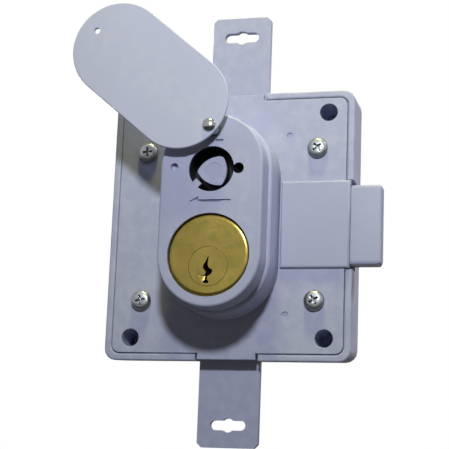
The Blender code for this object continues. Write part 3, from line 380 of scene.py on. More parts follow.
def mark_wear_and_highlight(shape: Shape, where: Test) -> None:
    """Marks points as rubbed: polished, and lighter in colour as part worn finish and part painted highlight.

    Args:
        shape: The solid under work.
        where: Says of a point whether it is rubbed.
    """
    layer = edge_layer(shape)
    for vert in shape.verts:
        if where(vert.co):
            vert[layer] = 1.0


def soften(shape: Shape, size: float, where: Test, segments: int = 3) -> None:
    """Rounds sharp edges and marks them for the finishes: polish, and a lighter colour that is part worn finish
    and part painted highlight.

    Args:
        shape: The solid under work.
        size: How far the rounding reaches from the edge.
        where: Says of both ends of an edge whether it is wanted.
        segments: Number of stretches in the rounding.
    """
    layer = edge_layer(shape)
    picked = [edge for edge in shape.edges
              if len(edge.link_faces) == 2 and edge.calc_face_angle() > SHARP
              and all(where(vert.co) for vert in edge.verts)]
    made = bmesh.ops.bevel(shape, geom=picked, offset=size, segments=segments, profile=0.5,
                           affect="EDGES", material=-1, clamp_overlap=True)
    for face in made["faces"]:
        for vert in face.verts:
            vert[layer] = 1.0


def at_level(level: float) -> Test:
    """A test for points at a level along y."""
    return lambda place: abs(place.y - level) < LEVEL


def in_front_of(level: float) -> Test:
    """A test for points in front of a level along y."""
    return lambda place: place.y < level


@dataclass(frozen=True)
class Piece:
    """What a finished piece is called, moves with and stands for."""

    name: str
    body: Body
    slot: Slot
    nodes: tuple[str, ...]

    def make(self, shape: Shape, finish: Material) -> bpy.types.Object:
        """Turns a shape into a piece of the scene.

        Args:
            shape: The shape in millimetres, which is freed.
            finish: Its material.

        Returns:
            The object, at the origin with its place in its mesh.
        """
        open_count = sum(1 for edge in shape.edges if len(edge.link_faces) != 2)
        for edge in shape.edges:
            edge.smooth = len(edge.link_faces) == 2 and edge.calc_face_angle() < SHARP
        for face in shape.faces:
            face.smooth = True
        bmesh.ops.scale(shape, verts=shape.verts, vec=(MM,) * 3)
        mesh = mesh_of(self.name, shape)
        mesh.materials.append(finish)
        made = add_object(self.name, mesh)
        normals = made.modifiers.new("even_normals", "WEIGHTED_NORMAL")
        normals.keep_sharp = True
        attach(made, self.body.value)
        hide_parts(*self.nodes)
        LOG.info("%s: %d faces, %d open edges", self.name, len(mesh.polygons), open_count)
        return made


class Graph:
    """A node tree under work."""

    def __init__(self, tree: Tree) -> None:
        """Starts on a tree."""
        self.tree = tree

    def feed(self, node: Node, inputs: dict) -> None:
        """Sets inputs of a node.

        Args:
            node: The node.
            inputs: Values or sockets by input name or index.
        """
        for key, value in inputs.items():
            if isinstance(value, Socket):
                self.tree.links.new(value, node.inputs[key])
            else:
                node.inputs[key].default_value = value

    def node(self, kind: str, inputs: dict | None = None, **settings: object) -> Node:
        """Adds a node.

        Args:
            kind: Its type name.
            inputs: Values or sockets by input name or index.
            settings: The node's own settings.

        Returns:
            The node.
        """
        made = self.tree.nodes.new(kind)
        for name, value in settings.items():
            setattr(made, name, value)
        self.feed(made, inputs or {})
        return made

    def group(self, tree: Tree, inputs: dict) -> Node:
        """Adds a shared node group with its inputs set."""
        return self.node("ShaderNodeGroup", inputs, node_tree=tree)

    def maths(self, operation: str, *values: object) -> Socket:
        """Adds a math node on numbers or sockets and returns its result."""
        return self.node("ShaderNodeMath", dict(enumerate(values)), operation=operation).outputs[0]

    def blend(self, share: object, first: object, second: object, mode: str = "MIX") -> Socket:
        """Mixes two colours.

        Args:
            share: How much of the second colour shows.
            first: The first colour.
            second: The second colour.
            mode: The blend mode.

        Returns:
            The mixed colour.
        """
        mix = self.node("ShaderNodeMix", {0: share, 6: first, 7: second}, data_type="RGBA", blend_type=mode)
        return mix.outputs[2]

    def range(self, value: Socket, low: float, high: float, first: float = 0, last: float = 1) -> Socket:
        """Maps a value from one range to another, kept inside it.

        Args:
            value: The value.
            low: Where the first range starts.
            high: Where it ends.
            first: Where the second range starts.
            last: Where it ends.

        Returns:
            The mapped value.
        """
        return self.node("ShaderNodeMapRange", {0: value, 1: low, 2: high, 3: first, 4: last}).outputs[0]

    def place(self) -> Socket:
        """The object's own coordinates."""
        return self.node("ShaderNodeTexCoord").outputs["Object"]

    def edge(self) -> Socket:
        """The mark of rounded and rubbed edges, from 0 to 1."""
        return self.node("ShaderNodeAttribute", attribute_name=EDGE_LAYER).outputs["Fac"]

    def noise(self, scale: Socket, detail: float, place: Socket | None = None) -> Socket:
        """Adds noise.

        Args:
            scale: How fine it is.
            detail: How many finer layers it has.
            place: Its coordinates, or the object's own if there are none.

        Returns:
            The noise's value.
        """
        place = self.place() if place is None else place
        return self.node("ShaderNodeTexNoise", {"Vector": place, "Scale": scale, "Detail": detail}).outputs[0]

    def radius(self, centre: Socket) -> Socket:
        """The distance from the axis along y that runs through a centre."""
        offset = self.node("ShaderNodeVectorMath", {0: self.place(), 1: centre}, operation="SUBTRACT")
        flat = self.node("ShaderNodeVectorMath", {0: offset.outputs[0], 1: (1, 0, 1)}, operation="MULTIPLY")
        return self.node("ShaderNodeVectorMath", {0: flat.outputs[0]}, operation="LENGTH").outputs["Value"]

    def bump(self, strength: float, depth: float, height: Socket) -> Socket:
        """Adds a bump with a depth in millimetres and returns its normal."""
        inputs = {"Strength": strength, "Distance": depth * MM, "Height": height}
        return self.node("ShaderNodeBump", inputs).outputs[0]


def open_group(name: str, inputs: dict[str, object]) -> tuple[Graph, dict[str, Socket]]:
    """Starts a node group.

    Args:
        name: The group's name.
        inputs: Default of each input: a number, a vector or a colour.

    Returns:
        The graph inside the group and its input sockets by name.
    """
    graph = Graph(bpy.data.node_groups.new(name, "ShaderNodeTree"))
    for label, default in inputs.items():
        kind = SOCKET_KINDS[len(default) if isinstance(default, tuple) else 1]
        socket = graph.tree.interface.new_socket(label, in_out="INPUT", socket_type=kind)
        socket.default_value = default
    source = graph.node("NodeGroupInput")
    return graph, {label: source.outputs[label] for label in inputs}


def close_group(graph: Graph, results: dict[str, Socket]) -> Tree:
    """Gives a group its outputs.

    Args:
        graph: The graph inside the group.
        results: The number or colour that each output gives.

    Returns:
        The group's tree.
    """
    for label, result in results.items():
        kind = SOCKET_KINDS[4 if result.type == "RGBA" else 1]
        graph.tree.interface.new_socket(label, in_out="OUTPUT", socket_type=kind)
    graph.node("NodeGroupOutput", results)
    return graph.tree


@dataclass
class Effects:
    """Node groups that the finishes share. A span is the stretch of noise over which a mask rises."""

    drift_span: Point = (0.3, 0.7)
    tint_span: Point = (0.45, 0.7)
    tint_finer: float = 2.7
    cell_share: float = 0.6
    ring_wander: float = 0.6
    edge_mark_span: Point = (0.42, 0.62)
    patch_span: Point = (0.52, 0.68)
    scratch_turns: Point = (0.5, -1.1)
    scratch_stretch: float = 14.0
    scratch_width: float = 0.006

    def __post_init__(self) -> None:
        """Builds every group once."""
        self.mottle = self.make_mottle()
        self.grain = self.make_grain()
        self.edge_wear_and_highlight = self.make_edge_wear_and_highlight()
        self.lathe = self.make_lathe()
        self.scuffs = self.make_scuffs()
        self.painted_recess_shade = self.make_painted_recess_shade()

    def make_mottle(self) -> Tree:
        """Slow drift of a colour's lightness and tint over a surface."""
        graph, given = open_group("Mottle", {
            "Colour": (0.5, 0.5, 0.5, 1), "Tint": (0.5, 0.5, 0.4, 1), "Scale": 40.0, "Drift": 0.05,
            "Tinting": 0.1})
        broad = graph.noise(given["Scale"], 4.0)
        finer = graph.noise(graph.maths("MULTIPLY", given["Scale"], self.tint_finer), 5.0)
        swing = graph.maths("MULTIPLY", graph.range(broad, *self.drift_span, -1, 1), given["Drift"])
        level = graph.maths("ADD", swing, 1.0)
        shade = graph.node("ShaderNodeCombineColor", {0: level, 1: level, 2: level}).outputs[0]
        varied = graph.blend(1.0, given["Colour"], shade, "MULTIPLY")
        share = graph.maths("MULTIPLY", graph.range(finer, *self.tint_span), given["Tinting"])
        return close_group(graph, {"Colour": graph.blend(share, varied, given["Tint"]), "Mask": share})

    def make_grain(self) -> Tree:
        """Height of a fine cast or sprayed grain."""
        graph, given = open_group("Grain", {"Scale": 1500.0, "Roundness": 0.5})
        fine = graph.noise(given["Scale"], 3.0)
        scale = graph.maths("MULTIPLY", given["Scale"], self.cell_share)
        inputs = {"Vector": graph.place(), "Scale": scale}
        cells = graph.node("ShaderNodeTexVoronoi", inputs, feature="SMOOTH_F1").outputs[0]
        round_part = graph.maths("MULTIPLY", cells, given["Roundness"])
        return close_group(graph, {"Height": graph.maths("ADD", fine, round_part)})

    def make_edge_wear_and_highlight(self) -> Tree:
        """Mask of lighter edges, part a finish rubbed thin and part painted highlight, broken up by noise."""
        graph, given = open_group("Edge wear and painted highlight", {"Scale": 400.0, "Amount": 0.5})
        broken = graph.range(graph.noise(given["Scale"], 6.0), *self.edge_mark_span)
        mask = graph.maths("MULTIPLY", graph.edge(), broken)
        return close_group(graph, {"Mask": graph.maths("MULTIPLY", mask, given["Amount"])})

    def make_lathe(self) -> Tree:
        """Height of the rings that a lathe leaves round an axis along y."""
        graph, given = open_group("Lathe rings", {"Centre": (0, 0, 0), "Rings": 1600.0})
        along = graph.maths("MULTIPLY", graph.radius(given["Centre"]), given["Rings"])
        rings = graph.node("ShaderNodeTexNoise", {
            "W": along, "Scale": 1.0, "Detail": 3.0, "Roughness": self.ring_wander}, noise_dimensions="1D")
        return close_group(graph, {"Height": rings.outputs[0]})

    def make_scuffs(self) -> Tree:
        """Mask of short fine scratches in two directions."""
        graph, given = open_group("Scuffs", {"Scale": 60.0, "Amount": 0.3})
        thin = []
        for turn in self.scratch_turns:
            bent = graph.node("ShaderNodeMapping", {
                "Vector": graph.place(), "Rotation": (0, turn, 0), "Scale": (1, 1, self.scratch_stretch)})
            lines = graph.noise(given["Scale"], 2.0, bent.outputs[0])
            away = graph.maths("ABSOLUTE", graph.maths("SUBTRACT", lines, 0.5))
            thin.append(graph.range(away, 0, self.scratch_width, 1, 0))
        patches = graph.range(graph.noise(given["Scale"], 2.0), *self.patch_span)
        mask = graph.maths("MULTIPLY", graph.maths("MAXIMUM", *thin), patches)
        return close_group(graph, {"Mask": graph.maths("MULTIPLY", mask, given["Amount"])})

    def make_painted_recess_shade(self) -> Tree:
        """Mask of painted shade deep in a round recess, from a level on and near an axis along y."""
        graph, given = open_group("Painted recess shade", {
            "Centre": (0, 0, 0), "Reach": 0.013, "Start": 0.0, "Depth": 0.0009})
        near = graph.maths("LESS_THAN", graph.radius(given["Centre"]), given["Reach"])
        level = graph.node("ShaderNodeSeparateXYZ", {0: graph.place()}).outputs["Y"]
        share = graph.maths("DIVIDE", graph.maths("SUBTRACT", level, given["Start"]), given["Depth"])
        return close_group(graph, {"Mask": graph.maths("MULTIPLY", near, graph.range(share, 0, 1))})


def start_material(name: str) -> tuple[Material, Graph, Node]:
    """Starts a node material.

    Args:
        name: The material's name.

    Returns:
        The material, its graph and its shader.
    """
    made = bpy.data.materials.new(name)
    made.use_nodes = True
    return made, Graph(made.node_tree), made.node_tree.nodes["Principled BSDF"]


@dataclass(frozen=True)
class Enamel:
    """A satin enamel on cast or pressed metal, with painted shade deep in a recess where it has one, and lighter
    edges that are part worn paint and part painted highlight.
    """

    name: str
    colour: Colour
    tint: Colour
    bare_and_highlight: Colour
    roughness: float = 0.45
    grain_depth: float = 0.05
    grain_scale: float = 1300.0
    grain_roundness: float = 0.7
    relief: float = 0.35
    drift_scale: float = 22.0
    drift: float = 0.03
    tinting: float = 0.07
    mask_top: float = 0.1
    rough_swing: Point = (-0.04, 0.06)
    specular: float = 0.18
    edge_mark_scale: float = 260.0
    edge_wear_and_highlight: float = 0.4
    scuff_scale: float = 70.0
    scuffing: float = 0.25
    # Colour of the painted shade deep in a recess.
    recess_shade_colour: Colour = (0.010, 0.012, 0.020, 1)
    recess: Point | None = None
    recess_start: float = 0.0
    recess_reach: float = 13.0

    def material(self, effects: Effects) -> Material:
        """Makes the enamel's material.

        Args:
            effects: The shared node groups.

        Returns:
            The material.
        """
        made, graph, shader = start_material(self.name)
        mottle = graph.group(effects.mottle, {
            "Colour": self.colour, "Tint": self.tint, "Scale": self.drift_scale, "Drift": self.drift,
            "Tinting": self.tinting})
        edge_wear_and_highlight = graph.group(effects.edge_wear_and_highlight, {"Scale": self.edge_mark_scale, "Amount": self.edge_wear_and_highlight})
        scuffs = graph.group(effects.scuffs, {"Scale": self.scuff_scale, "Amount": self.scuffing})
        # Lighter colour along marked edges, part worn paint and part painted highlight; the scuffs are real
        # scratches.
        colour = graph.blend(edge_wear_and_highlight.outputs["Mask"], mottle.outputs["Colour"], self.bare_and_highlight)
        colour = graph.blend(scuffs.outputs["Mask"], colour, self.bare_and_highlight)
        # Painted shade: the colour darkens deep in the key recess, more with depth.
        if self.recess is not None:
            painted_recess_shade = graph.group(effects.painted_recess_shade, {
                "Centre": metres(self.recess), "Reach": self.recess_reach * MM,
                "Start": self.recess_start * MM})
            colour = graph.blend(painted_recess_shade.outputs["Mask"], colour, self.recess_shade_colour)
        grain = graph.group(effects.grain, {"Scale": self.grain_scale, "Roundness": self.grain_roundness})
        low, high = (self.roughness + swing for swing in self.rough_swing)
        graph.feed(shader, {
            "Base Color": colour,
            "Roughness": graph.range(mottle.outputs["Mask"], 0, self.mask_top, low, high),
            "Normal": graph.bump(self.relief, self.grain_depth, grain.outputs["Height"]),
            "Specular IOR Level": self.specular,
        })
        return made


@dataclass(frozen=True)
class Plating:
    """A bright plated or machined metal, turned about a centre or plain."""

    name: str
    colour: Colour
    dull: Colour
    roughness: float
    centre: Point | None = None
    rings: float = 1500.0
    ring_depth: float = 0.014
    grain_scale: float = 2400.0
    grain_roundness: float = 0.3
    grain_depth: float = 0.01
    relief: float = 0.5
    tarnish: float = 0.2
    blotches: float = 160.0
    drift: float = 0.10
    mask_top: float = 0.3
    rough_swing: float = 0.2
    polish: float = 0.2
    edge_mark_scale: float = 500.0
    edge_wear_and_highlight: float = 0.5
    brightening: float = 1.35

    def material(self, effects: Effects) -> Material:
        """Makes the metal's material.

        Args:
            effects: The shared node groups.

        Returns:
            The material.
        """
        made, graph, shader = start_material(self.name)
        mottle = graph.group(effects.mottle, {
            "Colour": self.colour, "Tint": self.dull, "Scale": self.blotches, "Drift": self.drift,
            "Tinting": self.tarnish})
        edge_wear_and_highlight = graph.group(effects.edge_wear_and_highlight, {"Scale": self.edge_mark_scale, "Amount": self.edge_wear_and_highlight})
        bright = tuple(min(1.0, channel * self.brightening) for channel in self.colour[:3]) + (1,)
        if self.centre is None:
            tree, depth = effects.grain, self.grain_depth
            inputs = {"Scale": self.grain_scale, "Roundness": self.grain_roundness}
        else:
            tree, depth = effects.lathe, self.ring_depth
            inputs = {"Centre": metres(self.centre), "Rings": self.rings}
        height = graph.group(tree, inputs).outputs["Height"]
        rough = graph.range(mottle.outputs["Mask"], 0, self.mask_top,
                            self.roughness, self.roughness + self.rough_swing)
        smooth = graph.maths("MULTIPLY", graph.edge(), graph.maths("SUBTRACT", rough, self.polish))
        # Marked edges get a brighter base colour, part worn metal and part painted highlight, and a lower
        # roughness.
        graph.feed(shader, {
            "Base Color": graph.blend(edge_wear_and_highlight.outputs["Mask"], mottle.outputs["Colour"], bright),
            "Roughness": graph.maths("SUBTRACT", rough, smooth),
            "Normal": graph.bump(self.relief, depth, height),
            "Metallic": 1.0,
        })
        return made


@dataclass
class Finishes:
    """Every material of the lock."""

    effects: Effects
    # Depths behind the boss's face and the spindle's end at which the painted recess shade starts, in millimetres.
    boss_shade_offset: float = 0.3
    key_shade_offset: float = 0.8

    def __post_init__(self) -> None:
        """Makes the materials."""
        lavender = Enamel("lavender_enamel", (0.385, 0.41, 0.575, 1), (0.36, 0.37, 0.46, 1),
                          (0.50, 0.52, 0.64, 1))
        # Copies of the enamel with painted shade deep in the key recess, for the boss and the spindle end.
        recess_shaded = replace(lavender, recess=pivot("spindle_turn"))
        boss_start = node_box("boss_housing").low.y + self.boss_shade_offset
        key_start = node_box("spindle").low.y + self.key_shade_offset
        centre = node_box("cylinder_body").middle
        brass = Plating("turned_brass", (0.205, 0.155, 0.039, 1), (0.142, 0.135, 0.036, 1), 0.38,
                        (centre.x, centre.z), tarnish=0.7, blotches=110.0, drift=0.12)
        self.paint = lavender.material(self.effects)
        self.boss_paint = replace(recess_shaded, name="boss_enamel",
                                  recess_start=boss_start).material(self.effects)
        self.key_paint = replace(recess_shaded, name="key_end_enamel",
                                 recess_start=key_start).material(self.effects)
        self.flap_paint = Enamel("grey_enamel", (0.47, 0.495, 0.65, 1), (0.48, 0.48, 0.54, 1),
                                 (0.54, 0.55, 0.64, 1), 0.42, 0.03, 900.0).material(self.effects)
        self.zinc = Plating("bright_zinc", (0.29, 0.31, 0.32, 1), (0.14, 0.15, 0.15, 1), 0.34,
                            tarnish=0.4).material(self.effects)
        self.nickel = Plating("rivet_nickel", (0.28, 0.29, 0.28, 1), (0.14, 0.15, 0.14, 1), 0.16,
                              ).material(self.effects)
        self.steel = Plating("machined_steel", (0.42, 0.42, 0.43, 1), (0.25, 0.24, 0.23, 1), 0.35,
                             ).material(self.effects)
        self.brass = brass.material(self.effects)
        self.plug_brass = replace(brass, name="plug_brass", roughness=0.36, centre=pivot("plug_turn"),
                                  rings=2200.0, tarnish=0.6, blotches=140.0).material(self.effects)

    def for_slot(self, slot: Slot) -> Material:
        """The material that a slot of the record takes."""
        table = {Slot.PAINT: self.paint, Slot.FLAP_PAINT: self.flap_paint, Slot.ZINC: self.zinc,
                 Slot.STEEL: self.steel, Slot.BRASS: self.brass}
        return table[slot]


@dataclass
class CaseTray:
    """The cast tray behind everything, with its rim."""

    finishes: Finishes
    edge: float = 0.7
    draft: float = 1.6
    draft_reach: float = 6.0
    wall_reach: float = 4.5

    def build(self) -> None:
        """Makes the case with rounded rim edges and a slanted lower wall."""
        shape = cad_copy("case")
        box = node_box("case")
        for vert in shape.verts:
            if vert.co.z < box.low.z + self.draft_reach:
                vert.co.z += self.draft * (vert.co.y - box.low.y) / box.size.y
        in_front = at_level(box.low.y)

        def outer_front(place: Vector) -> bool:
            """A test for the front edge of the outer walls."""
            inside = (place.x - box.low.x, box.high.x - place.x, place.z - box.low.z, box.high.z - place.z)
            return in_front(place) and min(inside) < self.wall_reach

        soften(shape, self.edge, outer_front)
        soften(shape, self.edge, at_level(box.high.y))
        Piece("case_shell", Body.CASE, Slot.PAINT, ("case",)).make(shape, self.finishes.paint)


@dataclass
class CoverPlate:
    """The pressed plate that closes the case, with tabs, band and dimples."""

    finishes: Finishes
    edge: float = 0.5
    band_edge: float = 1.15
    face_reach: Point = (0.1, 1.6)

    def build(self) -> None:
        """Makes the cover plate with rounded edges."""
        shape = cad_copy("cover_plate")
        box = node_box("cover_plate")
        nearest, furthest = (box.low.y + reach for reach in self.face_reach)
        soften(shape, self.band_edge, at_level(box.low.y), 4)
        soften(shape, self.edge, lambda place: nearest < place.y < furthest)
        Piece("cover_sheet", Body.CASE, Slot.PAINT, ("cover_plate",)).make(shape, self.finishes.paint)


@dataclass
class BossHousing:
    """The oval cast boss in two tiers, bored for the cylinder and the key."""

    finishes: Finishes
    step_depth: float = 15.5
    spread: float = 1.0
    taper: float = 1.3
    lift_low: float = 0.3
    lift_high: float = 1.0
    edge: float = 0.9
    foot_edge: float = 1.2
    foot_start: float = -85.0
    rim_edge: float = 0.35
    bore: float = 15.72
    recess: float = 8.7
    recess_depth: float = 10.0
    spindle_bore: float = 6.3
    rivet_bore: float = 1.8
    rivet_depth: float = 5.8
    notch: float = 2.1
    notch_offset: float = 10.4
    lug_inner: float = 6.5
    lug_width: float = 2.9
    lug_angle: float = 225.0
    mark: Point = (-15.4, 17.0)
    mark_radius: float = 1.5
    mark_depth: float = 2.2
    mark_curve: tuple[Point, ...] = ((1.0, 0.75), (0.6, 0.95), (0.0, 1.0))
    arrow_height: float = 3.7
    arrow_length: float = 15.8
    arrow_head: float = 3.4
    arrow_head_width: float = 3.6
    arrow_shaft: float = 1.0
    arrow_depth: float = 0.7
    tick: Point = (1.7, 26.9)
    tick_size: Point = (3.0, 0.75)

    def build(self) -> None:
        """Makes the housing."""
        box = node_box("boss_housing")
        face, back = box.low.y, box.high.y + BITE
        round_end, x = box.size.x / 2, box.middle.x
        foot = round_end + self.spread
        upper = foot - self.taper
        step = box.high.y - self.step_depth
        profile = arc((upper - self.edge, face + self.edge), self.edge, -90, 0, 5)
        profile += [(upper, step)]
        profile += arc((foot - self.foot_edge, step + self.foot_edge), self.foot_edge, self.foot_start, 0, 4)
        profile += [(foot, box.high.y)]
        shape = oval(profile, (x, box.low.z + round_end + self.lift_low),
                     (x, box.high.z - round_end + self.lift_high))
        cylinder = node_box("cylinder_body").middle
        shape = cut(shape, rod((cylinder.x, cylinder.z), self.bore, face - BITE, back, 72))
        shape = cut(shape, self.recess_tool(face))
        shape = cut(shape, rod(pivot("spindle_turn"), self.spindle_bore, face, back))
        end = face + self.rivet_depth
        shape = cut(shape, rod(pivot("flap_swing"), self.rivet_bore, face - BITE, end, 24))
        soften(shape, self.rim_edge, at_level(face))
        for tool in (self.dimple(face), self.arrow(x, face), self.tick_tool(face)):
            shape = cut(shape, tool)
        # The boss takes the enamel with painted shade deep in its key recess.
        Piece("boss_casting", Body.CASE, Slot.PAINT, ("boss_housing",)).make(shape, self.finishes.boss_paint)

    def tick_tool(self, face: float) -> Shape:
        """The short engraved tick above the recess."""
        half, tall = self.tick_size[0] / 2, self.tick_size[1] / 2
        return block((self.tick[0] - half, face - BITE, self.tick[1] - tall),
                     (self.tick[0] + half, face + self.arrow_depth, self.tick[1] + tall))

    def recess_tool(self, face: float) -> Shape:
        """The space of the key recess, with its notch and lug.

        Args:
            face: Level of the boss's face.

        Returns:
            The tool.
        """
        centre = pivot("spindle_turn")
        front, back = face - BITE, face + self.recess_depth
        tool = rod(centre, self.recess, front, back, 64)
        tool = join(tool, rod((centre[0] + self.notch_offset, centre[1]), self.notch, front, back, 32))
        lug = block((self.lug_inner, front - BITE, -self.lug_width / 2),
                    (self.recess + BITE, back + BITE, self.lug_width / 2))
        place = Matrix.Translation((centre[0], 0, centre[1])) @ rotation(-self.lug_angle, "Y")
        bmesh.ops.transform(lug, matrix=place, verts=lug.verts)
        return cut(tool, lug)

    def dimple(self, face: float) -> Shape:
        """The small round mark beside the recess."""
        radius, depth = self.mark_radius, self.mark_depth
        profile = [(0, face - BITE), (radius, face - BITE)]
        profile += [(radius * wide, face + depth * deep) for wide, deep in self.mark_curve]
        return turned(profile, self.mark, 24)

    def arrow(self, x: float, face: float) -> Shape:
        """The plain arrow under the recess.

        Args:
            x: Middle of the boss.
            face: Level of its face.

        Returns:
            The tool.
        """
        left, level = x - self.arrow_length / 2, self.arrow_height
        neck, right = left + self.arrow_head, left + self.arrow_length
        half, wide = self.arrow_shaft / 2, self.arrow_head_width / 2
        upper = [(right, level + half), (neck, level + half), (neck, level + wide)]
        lower = [(neck, level - wide), (neck, level - half), (right, level - half)]
        return prism([(left, level), *lower, *upper], face - BITE, face + self.arrow_depth)


@dataclass
class SpindleEnd:
    """The triangular end of the spindle in its recess."""

    finishes: Finishes
    core: float = 4.67
    corner: float = 1.6
    mark: float = 3.15
    mark_depth: float = 0.2
    edge: float = 0.35
    collar_setback: float = 5.1

    def build(self) -> None:
        """Makes the spindle's visible end on a copy of its shaft."""
        face = node_box("spindle").low.y
        centre = pivot("spindle_turn")
        collar_front = face + self.collar_setback
        shape = prism(self.triangle(centre), face, collar_front + BITE / 2)
        shape = cut(shape, rod(centre, self.mark, face - BITE, face + self.mark_depth))
        soften(shape, self.edge, at_level(face))
        shape = join(shape, rear_of("spindle", centre, collar_front))
        # The end takes the enamel with painted shade deep in the recess.
        Piece("spindle_end", Body.SPINDLE, Slot.ZINC, ("spindle",)).make(shape, self.finishes.key_paint)

    def triangle(self, centre: Point) -> Outline:
        """The triangle with full sides and round corners that the key fits."""
        points: Outline = []
        side = self.core * math.sqrt(3) + self.corner
        for corner in (60, 180, 300):
            points += arc(self.core_corner(centre, corner), self.corner, corner - 30, corner + 30, 6)[:-1]
            points += arc(self.core_corner(centre, corner - 120), side, corner + 30, corner + 90, 12)[:-1]
        return points

    def core_corner(self, centre: Point, angle: float) -> Point:
        """A corner of the triangle that the round corners are drawn about."""
        return arc(centre, self.core, angle, angle, 1)[0]


@dataclass
class KeyCylinder:
    """The round brass cylinder and its plug with the keyway."""

    finishes: Finishes
    rim: float = 0.6
    crown: float = 1.7
    crown_drop: float = 0.34
    edge: float = 0.3
    plug_bore: float = 7.48
    plug: float = 7.4
    plug_edge: float = 0.1
    keyway_rows: tuple[Place, ...] = (
        (3.6, -0.1, 0.3), (1.8, -0.9, 0.0), (0.4, -1.7, 0.0), (-0.6, -1.9, 0.5), (-1.2, -1.4, 1.7),
        (-2.2, -0.6, 1.8), (-3.1, -1.0, 1.1), (-3.8, -1.0, -0.1), (-5.0, -1.1, -0.1), (-5.6, -1.7, 0.5),
        (-6.3, -1.3, 0.3))
    keyway_depth: float = 22.0
    lip: Point = (-2.25, -4.5)
    lip_size: Point = (2.7, 2.2)
    lip_tilt: float = 11.0
    lip_lean: float = -5.0
    lip_mark_share: float = 0.6

    def build(self) -> None:
        """Makes the cylinder and the plug."""
        box = node_box("cylinder_body")
        radius, front, back = box.size.x / 2 + self.rim, box.low.y, box.high.y
        centre, plug = (box.middle.x, box.middle.z), pivot("plug_turn")
        crown = radius - self.crown
        profile = [(0, front), (crown, front), (radius - self.crown / 2, front + self.crown_drop / 2)]
        rim = front + self.crown_drop
        profile += [(radius - self.edge, rim), (radius, rim + self.edge), (radius, back), (0, back)]
        shape = turned(profile, centre, 96)
        # The crown ring is marked as rubbed: polished, and brighter in colour as part worn brass and part painted
        # highlight.
        mark_wear_and_highlight(shape, lambda place: math.hypot(place.x - centre[0], place.z - centre[1]) > crown + WELD)
        shape = cut(shape, rod(plug, self.plug_bore, front - BITE, back + BITE, 64))
        Piece("cylinder_shell", Body.CASE, Slot.BRASS, ("cylinder_body",)).make(shape, self.finishes.brass)
        self.build_plug(plug)

    def build_plug(self, centre: Point) -> None:
        """Makes the plug.

        Args:
            centre: The plug's axis.
        """
        face = node_box("cylinder_plug").low.y
        front = face + self.keyway_depth
        neck, end = self.plug - BITE / 4, front + BITE / 4
        profile = [(0, face)]
        profile += arc((self.plug - self.plug_edge, face + self.plug_edge), self.plug_edge, -90, 0, 3)
        profile += [(self.plug, front - BITE), (neck, front - BITE), (neck, end), (0, end)]
        shape = cut(turned(profile, centre, 64), self.lip_tool(centre, face))
        shape = cut(shape, prism(self.keyway_outline(centre), face - BITE, front))
        shape = join(shape, rear_of("cylinder_plug", centre, front))
        # The nick is marked the same way, part worn brass and part painted highlight.
        mark_wear_and_highlight(shape, self.on_lip(centre, face))
        Piece("plug_turned", Body.PLUG, Slot.BRASS, ("cylinder_plug",)).make(shape, self.finishes.plug_brass)

    def keyway_outline(self, centre: Point) -> Outline:
        """The winding slot that the key goes in. A row holds a height and the slot's two sides."""
        left = [(centre[0] + row[1], centre[1] + row[0]) for row in self.keyway_rows]
        right = [(centre[0] + row[2], centre[1] + row[0]) for row in reversed(self.keyway_rows)]
        return left + right

    def lip_tool(self, centre: Point, face: float) -> Shape:
        """The slanted nick that keys have rubbed beside the slot.

        Args:
            centre: The plug's axis.
            face: Level of the plug's face.

        Returns:
            The tool.
        """
        wide, tall = self.lip_size
        tool = block((-wide / 2, -2 * BITE, -tall / 2), (wide / 2, 0, tall / 2))
        lean = rotation(self.lip_tilt, "Z") @ rotation(self.lip_lean, "X")
        sink = wide / 2 * math.sin(math.radians(self.lip_tilt))
        place = Matrix.Translation((centre[0] + self.lip[0], face + sink, centre[1] + self.lip[1]))
        bmesh.ops.transform(tool, matrix=place @ lean, verts=tool.verts)
        return tool

    def on_lip(self, centre: Point, face: float) -> Test:
        """A test for points in and around the nick.

        Args:
            centre: The plug's axis.
            face: Level of the plug's face.

        Returns:
            The test.
        """
        x, z = centre[0] + self.lip[0], centre[1] + self.lip[1]
        wide, tall = (size * self.lip_mark_share for size in self.lip_size)
        return lambda place: abs(place.x - x) < wide and abs(place.z - z) < tall and place.y < face + BITE


@dataclass
class SideBolt:
    """The bolt that stands out of the right side."""

    finishes: Finishes
    edge: float = 0.8
    nose: float = 12.0

    def build(self) -> None:
        """Makes the bolt with a softly rounded nose."""
        shape = cad_copy("bolt")
        nose_start = node_box("bolt").high.x - self.nose
        soften(shape, self.edge, lambda place: place.x > nose_start, 2)
        Piece("bolt_nose", Body.BOLT, Slot.PAINT, ("bolt",)).make(shape, self.finishes.paint)


@dataclass
class SlidingBars:
    """The slotted bars at the top and the bottom."""

    finishes: Finishes
    edge: float = 0.4
    inside: float = 5.0

    def build(self) -> None:
        """Makes both bars with rounded edges where they show."""
        case = node_box("case")
        low, high = case.low.z + self.inside, case.high.z - self.inside
        for node, body in (("top_bar", Body.TOP_BAR), ("bottom_bar", Body.BOTTOM_BAR)):
            shape = cad_copy(node)
            soften(shape, self.edge, lambda place: not low <= place.z <= high)
            Piece(f"{node}_strip", body, Slot.PAINT, (node,)).make(shape, self.finishes.paint)


